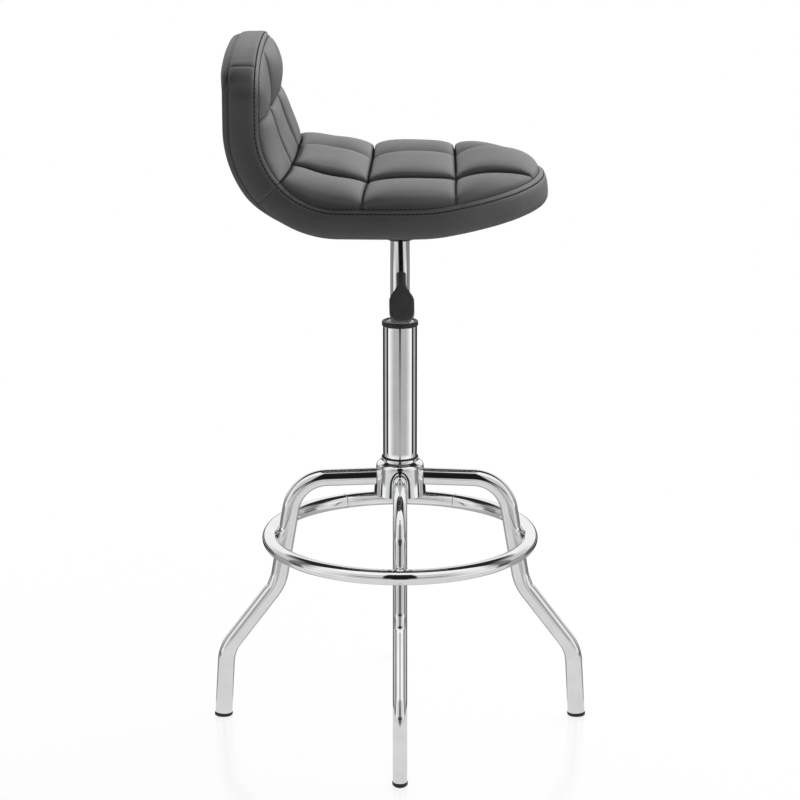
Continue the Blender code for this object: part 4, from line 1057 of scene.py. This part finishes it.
def puffed(piece, held):
    """Blow the pad up as cloth held along its seams, then keep the result, moved no more than PUFF_CAP."""
    mesh = piece.data
    start = np.empty(len(mesh.vertices) * 3)
    mesh.vertices.foreach_get("co", start)
    group = piece.vertex_groups.new(name="held")
    for weight in (0.25, 0.5, 0.75, 1.0):
        group.add(np.nonzero(held >= weight - 0.125)[0].tolist(), weight, "REPLACE")
    step = piece.modifiers.new("puff", "CLOTH")
    cloth = step.settings
    cloth.quality = 6
    cloth.mass = 0.03
    cloth.tension_stiffness = cloth.compression_stiffness = 4
    cloth.shear_stiffness = 2
    cloth.bending_stiffness = 0.6
    cloth.use_pressure = True
    cloth.uniform_pressure_force = PUFF_PRESSURE
    cloth.vertex_group_mass = "held"
    cloth.effector_weights.gravity = 0.0
    step.collision_settings.use_collision = False
    scene = bpy.context.scene
    for number in range(1, PUFF_FRAMES + 1):
        scene.frame_set(number)
    blown = piece.evaluated_get(bpy.context.evaluated_depsgraph_get())
    end = np.empty_like(start)
    blown.data.vertices.foreach_get("co", end)
    piece.modifiers.remove(step)
    scene.frame_set(1)
    move = (end - start).reshape(-1, 3)
    size = np.linalg.norm(move, axis=1)
    kept = PUFF_CAP * (1 - np.exp(-size / PUFF_CAP))
    move *= (kept / np.maximum(size, 1e-9) * (1 - held))[:, None]
    mesh.vertices.foreach_set("co", start + move.ravel())
    mesh.update()


def build_pads():
    for name, back, node_name in (("seat_pad", False, "seat_cushion"), ("back_pad", True, "back_cushion")):
        mesh, held = panel_mesh(name, back)
        pad = add_piece(name, mesh, LEATHER, "seat", [node_name])
        puffed(pad, held)


def unit_steps(loop):
    """The direction of a closed loop at each of its points."""
    way = np.roll(loop, -1, axis=0) - np.roll(loop, 1, axis=0)
    return way / np.linalg.norm(way, axis=1)[:, None]


def band_section():
    """Height and reach of the band's outside from the top seam to the bottom seam, then its inside."""
    section = [(-0.0030, -0.0012), (-0.0014, -0.0006), (-0.0010, 0.0002), (-0.0017, 0.0011), (-0.0034, 0.0020)]
    for k in range(2, 12):
        share = k / 12
        section.append((-BAND_HEIGHT * share, 0.0010 + 0.0024 * (1 - abs(2 * share - 1) ** 2.6)))
    low = -BAND_HEIGHT
    return section + [(low + 0.0016, 0.0010), (low + 0.0004, 0.0002), (low + 0.0006, -0.0008),
                      (low + 0.0022, -0.0016), (low + 0.0022, -BAND_THICK), (-0.003, -BAND_THICK)]


def band_loop():
    """The outline with points close together at the joins in the band."""
    stops = [0.0] + [run + offset for run in BAND_JOINS for offset in (-0.003, 0.003)] + [SPINE]
    parts = [outline_side(0.0, low, high) for low, high in zip(stops[::2], stops[1::2])]
    for k, run in enumerate(BAND_JOINS):
        runs = run + np.array((-0.0018, -0.0009, -0.0004, 0, 0.0004, 0.0009, 0.0018))
        parts.insert(2 * k + 1, np.stack([runs, half_widths(runs)], axis=1))
    return whole_loop(np.concatenate(parts))


def build_band():
    """The band round the edge, gently rucked, with grooves at its joins and drawn in along the back's top."""
    loop = band_loop()
    out = unit_steps(loop)[:, ::-1] * (-1, 1)
    join = np.min([np.abs(loop[:, 0] - run) for run in BAND_JOINS], axis=0)
    groove = JOIN_GROOVE * fading(join, JOIN_WIDTH)
    pull = TOP_PULL * eased((loop[:, 0] - SPINE + TOP_PULL_RUN) / TOP_PULL_RUN)
    rings = []
    seam_and_shade_levels = []
    for k, (height, reach) in enumerate(band_section()):
        ruck = BAND_RUCK * np.array([noise.noise(Vector((p[0] * 70, p[1] * 70, height * 30))) for p in loop])
        drawn_in = groove + pull * min(-height / TOP_PULL_FADE, 1.0) if k < BAND_OUTSIDE_RINGS else 0.0
        rings.append(on_seat(loop + out * (reach + ruck - drawn_in)[:, None], height))
        # Painted shade: the band is darkened beside its top and bottom seams and in the grooves at its joins
        seam_and_shade_levels.append(np.maximum(BAND_SEAM_AND_SHADE.get(k, 0.0), fading(join, JOIN_WIDTH / 2)))
    mesh = mesh_from("band", *skin(np.stack(rings, axis=1).tolist(), closed=True), sharp=70)
    mark_seam_and_shade(mesh, np.stack(seam_and_shade_levels, axis=1).ravel())
    band = add_piece("edge_band", mesh, LEATHER, "seat", ["border_band"])


def cover_height(runs, gap):
    turn = (runs - BEND_START) / BACK_BEND_R
    edge = gap - BAND_THICK + 0.001
    swell = COVER_BULGE * eased((turn - SWELL_START) / (SWELL_END - SWELL_START))
    top = TOP_BULGE * eased((runs - SPINE + 0.052) / 0.030)
    swell = swell * rounded(edge / COVER_EDGE, COVER_POWER)
    return -BAND_HEIGHT - swell - top * rounded(2 * edge / COVER_EDGE, COVER_POWER)


def build_cover():
    """The rear and underside: one padded skin that swells behind the back and lies flat over the plate."""
    outline = whole_loop(outline_side(0.0, 0.0, SPINE))
    outline = np.concatenate([outline, outline[:1]])
    sides = [outline_side(inset, inset, SPINE - inset, RIM_SPACING)
             for inset in (COVER_INSET + grow for grow in (0.0, *COVER_RINGS))]
    lines = thinned(np.concatenate([np.concatenate([side, side * (1, -1)]) for side in sides[1:]]), 0.0008)
    grid = staggered(0, SPINE, COVER_PITCH)
    grid = grid[np.abs(grid[:, 1]) < half_widths(grid[:, 0]) - 0.01]
    grid = grid[near_outline(grid, outline) > 0.022]
    found = triangles_in(whole_loop(sides[0]), np.concatenate([lines, grid]))
    points = np.array([tuple(p) for p in found[0]])
    gap = near_outline(points, outline)
    outer = on_seat(points, cover_height(points[:, 0], gap))
    inner = on_seat(points, COVER_THICK - BAND_HEIGHT)
    # Painted shade: the cover is darkened along its rim, where it tucks under the band
    seam_and_shade_levels = np.tile(fading(gap - COVER_INSET, 0.0012), 2)
    mesh = padded_skin("rear_cover", outer, inner, [tuple(face) for face in found[2]], seam_and_shade_levels, 60)
    cover = add_piece("rear_cover", mesh, LEATHER, "seat", ["outer_cover"])


def stitch_mesh(name, centres, ways, ups):
    """A row of short rounded stitches, each lying along its way with a small crown."""
    shells = []
    shape = [(-0.5, 0.35, -0.5), (-0.38, 0.85, 0.1), (0.0, 1.0, 0.35), (0.38, 0.85, 0.1), (0.5, 0.35, -0.5)]
    for centre, way, up in zip(centres, ways, ups):
        side = np.cross(way, up)
        rings = []
        for along, thick, lift in shape:
            middle = centre + way * along * STITCH_LENGTH + up * lift * STITCH_R
            rings.append(oval(middle, side * STITCH_R * thick, up * STITCH_R * thick, STITCH_SIDES))
        shells.append(rings)
    return mesh_from(name, *skins(shells))


def build_stitches():
    """Two rows along the edge seam: one in the seam itself, one on the inner side of the strip."""
    for name, inset, sink in (("seam", 0.0003, 0.0007), ("strip", STRIP, 0.0003)):
        loop = whole_loop(outline_side(inset, inset, SPINE - inset, STITCH_PITCH))
        edge = np.full(len(loop), inset)
        front, rear = (pad_height(loop, edge, back)[0] for back in (False, True))
        places = on_seat(loop, np.where(loop[:, 0] > CREASE, rear, front) + sink)
        _, _, up_x, up_z = spine(loop[:, 0])
        ups = np.stack([up_x, 0 * up_x, up_z], axis=1)
        mesh = stitch_mesh("stitches_" + name, places, unit_steps(places), ups)
        add_piece("stitches_" + name, mesh, THREAD, "seat")


# Stage

def degrees_between(tree, one, two, low, high):
    """The angle of two coordinates, as a share of a range of degrees."""
    ends = {"From_Min": math.radians(low), "From_Max": math.radians(high)}
    return node(tree, "MapRange", Value=maths(tree, "ARCTAN2", one, two), **ends).outputs["Result"]


def build_world():
    """White to the camera. Bright metal sees a studio: floor, side walls, dark ceiling, softbox, backdrop."""
    world = bpy.data.worlds.new("studio")
    bpy.context.scene.world = world
    world.use_nodes = True
    tree = world.node_tree
    tree.nodes.clear()
    split = node(tree, "SeparateXYZ", Vector=node(tree, "TexCoord").outputs["Generated"])
    x, y, z = (split.outputs[axis] for axis in "XYZ")
    toward = maths(tree, "MULTIPLY", y, -1.0)
    flat = maths(tree, "ADD", maths(tree, "MULTIPLY", x, x), maths(tree, "MULTIPLY", y, y))
    over = degrees_between(tree, z, toward, -180, 180)
    around = degrees_between(tree, maths(tree, "ABSOLUTE", x), toward, 0, 180)
    rise = degrees_between(tree, z, maths(tree, "SQRT", flat), -90, 90)
    dark = node(tree, "RGB").outputs[0]
    dark.default_value = (0.012, 0.012, 0.012, 1)

    def by_over(*stops):
        return ramp(tree, over, [((degrees + 180) / 360, level) for degrees, level in stops])

    def by_turn(*stops):
        return ramp(tree, around, [(degrees / 180, level) for degrees, level in stops])

    def by_rise(*stops):
        return ramp(tree, rise, stops)

    def darkened(view, turn_share, rise_share):
        return mixed(tree, maths(tree, "MULTIPLY", turn_share, rise_share), view, dark)

    above = by_over((-180, 0.9), (0, 0.62), (45, 0.62), (47, 1.0), (84, 1.0), (87, 0.02), (131, 0.02),
                    (136, 0.95), (180, 0.95))
    below = by_over((-180, 0.02), (-162, 0.02), (-156, 0.3), (-108, 0.42), (-90, 0.6), (-68, 0.9), (-34, 1.0),
                    (-21, 0.78), (0, 0.72))
    horizon = by_turn((0, 0.47), (40, 0.47), (50, 0.58), (60, 0.74), (68, 0.82), (72, 1.0), (85, 1.0),
                      (88, 0.02), (100, 0.02), (104, 0.40), (124, 0.44), (129, 0.02), (180, 0.02))
    upper_horizon = by_turn((0, 0.62), (68, 0.72), (78, 0.24), (120, 0.22), (150, 0.36), (180, 0.36))
    shallow = by_rise((0.0, 0.0), (0.4360, 0.0), (0.4385, 1.0), (0.462, 1.0), (0.475, 0.0))
    steep = by_rise((0.0, 1.0), (0.378, 1.0), (0.404, 0.0), (0.63, 0.0), (0.75, 1.0))
    walls = by_turn((0, 0.0), (38, 0.0), (60, 1.0), (120, 1.0), (142, 0.0))
    wall_light = by_turn((0, 0.7), (72, 0.9), (89, 0.2), (100, 0.2), (104, 0.6), (180, 0.6))
    wide_line = by_turn((0, 1.0), (12, 1.0), (15, 0.0))

    low_view = mixed(tree, steep, mixed(tree, shallow, horizon, upper_horizon), below)
    low_view = darkened(low_view, by_turn((0, 1.0), (5, 1.0), (9, 0.0)),
                        by_rise((0.0, 0.0), (0.4095, 0.04), (0.4148, 0.24), (0.4197, 0.5), (0.4222, 0.68),
                                (0.4242, 1.0)))
    low_view = darkened(low_view, wide_line, by_rise((0.0, 0.0), (0.465, 0.0), (0.475, 1.0), (1.0, 1.0)))
    side_view = maths(tree, "MULTIPLY", walls, maths(tree, "SUBTRACT", 1.0, steep))
    high_view = mixed(tree, side_view, above, wall_light)
    high_view = darkened(high_view, by_turn((0, 1.0), (13, 1.0), (15, 0.0)),
                         by_rise((0.0, 1.0), (0.735, 1.0), (0.74, 0.0)))
    high_view = darkened(high_view, wide_line,
                         by_rise((0.0, 0.0), (0.73, 0.0), (0.735, 0.96), (0.81, 0.96), (0.815, 0.0)))
    high_view = darkened(high_view, by_turn((0, 0.8), (34, 0.8), (44, 0.0)),
                         by_rise((0.0, 0.0), (0.503, 0.0), (0.508, 1.0), (0.540, 1.0), (0.548, 0.0)))
    view = mixed(tree, maths(tree, "GREATER_THAN", z, 0.0), low_view, high_view)

    def background(colour, strength):
        return node(tree, "Background", Color=colour, Strength=strength).outputs["Background"]

    rays = node(tree, "LightPath").outputs
    white = (1, 1, 1, 1)
    lit = mixed_shaders(tree, rays["Is Glossy Ray"], background(white, WORLD_LIGHT), background(view, 1.0))
    seen = mixed_shaders(tree, rays["Is Camera Ray"], lit, background(white, 1.0))
    node(tree, "OutputWorld", Surface=seen)


def build_floor():
    """A pale floor: white to the camera, but for a faint shadow and reflection round the feet. Bright metal
    sees a pale card on it, under the stool and before it."""
    half = FLOOR_HALF
    mesh = bpy.data.meshes.new("floor")
    corners = [(-half, -half, 0), (half, -half, 0), (half, half, 0), (-half, half, 0)]
    mesh.from_pydata(corners, [], [(0, 1, 2, 3)])
    mat, tree, shader = new_material("pale_floor")
    plug(tree, shader, Base_Color=(0.85, 0.85, 0.85, 1), Roughness=0.9, Specular_IOR_Level=0.0)
    place = node(tree, "TexCoord").outputs["Object"]
    reach = node(tree, "VectorMath", operation="LENGTH", Vector=place).outputs["Value"]
    fade = node(tree, "MapRange", interpolation_type="SMOOTHSTEP", Value=reach, From_Min=0.45, From_Max=1.1,
                To_Min=FLOOR_GLOW, To_Max=1.0).outputs["Result"]
    rays = node(tree, "LightPath").outputs
    white = (1, 1, 1, 1)
    sheen = node(tree, "BsdfGlossy", Color=white, Roughness=0.14).outputs["BSDF"]
    glow = node(tree, "Emission", Color=white, Strength=1.0).outputs["Emission"]
    polish = maths(tree, "MULTIPLY", rays["Is Camera Ray"], FLOOR_POLISH)
    bleach = maths(tree, "MULTIPLY", rays["Is Camera Ray"], fade)
    plain = mixed_shaders(tree, bleach, mixed_shaders(tree, polish, shader.outputs["BSDF"], sheen), glow)
    depth = node(tree, "SeparateXYZ", Vector=place).outputs["Y"]
    near = maths(tree, "MULTIPLY", maths(tree, "LESS_THAN", reach, NEAR_FLOOR_R),
                 maths(tree, "LESS_THAN", depth, NEAR_FLOOR_Y))
    clear = node(tree, "BsdfTransparent", Color=white).outputs["BSDF"]
    pale = node(tree, "Emission", Color=white, Strength=NEAR_FLOOR_GLOW).outputs["Emission"]
    seen = mixed_shaders(tree, rays["Is Glossy Ray"], plain, mixed_shaders(tree, near, clear, pale))
    tree.links.new(seen, tree.nodes["Material Output"].inputs["Surface"])
    mesh.materials.append(mat)
    floor = link_object("floor", mesh)


def add_softbox(name, place, target, size, power):
    lamp = bpy.data.lights.new(name, "AREA")
    lamp.shape = "RECTANGLE"
    lamp.size, lamp.size_y = size
    lamp.energy = power
    thing = link_object(name, lamp)
    thing.location = place
    thing.rotation_euler = (Vector(target) - Vector(place)).to_track_quat("-Z", "Y").to_euler()
    thing.visible_glossy = False


def build_stage():
    build_world()
    build_floor()
    add_softbox("top_softbox", (1.5, 1.5, 2.5), (0, 0, 0.85), (2.0, 1.4), 158)
    add_softbox("front_softbox", (-1.3, -1.9, 1.75), (0, 0, 0.6), (0.9, 0.9), 3.0)
    add_softbox("side_softbox", (2.6, 0.1, 1.75), (0, 0, 0.9), (1.2, 1.2), 12)
    camera = link_object("camera", bpy.data.cameras.new("camera"))
    camera.location = CAMERA_PLACE
    camera.rotation_euler = (math.radians(90 - CAMERA_DIP), 0, 0)
    camera.data.sensor_width = 36
    camera.data.lens = CAMERA_LENS
    bpy.context.scene.camera = camera
    bpy.context.scene.view_settings.view_transform = "Standard"


def dress_nodes():
    """Finishes for the pieces that keep their own solids."""
    finishes = {"steel": STEEL, "black_steel": PAINT, "plywood": PLYWOOD, "rubber": RUBBER,
                "grey_plastic": GREY_PLASTIC, "black_plastic": BLACK_PLASTIC, "chrome": CHROME,
                "leather": LEATHER}
    for part in frame["record"]["subparts"]:
        mesh = frame["nodes"][part["node"]].data
        mesh.materials.clear()
        mesh.materials.append(finishes[part["material_slot"]])


dress_nodes()
build_legs()
build_foot_caps()
build_foot_ring()
build_ring_welds()
build_hub()
build_hoop_joints()
build_column()
build_cylinder()
build_boss()
build_lever()
build_paddle()
build_pads()
build_band()
build_cover()
build_stitches()
build_stage()
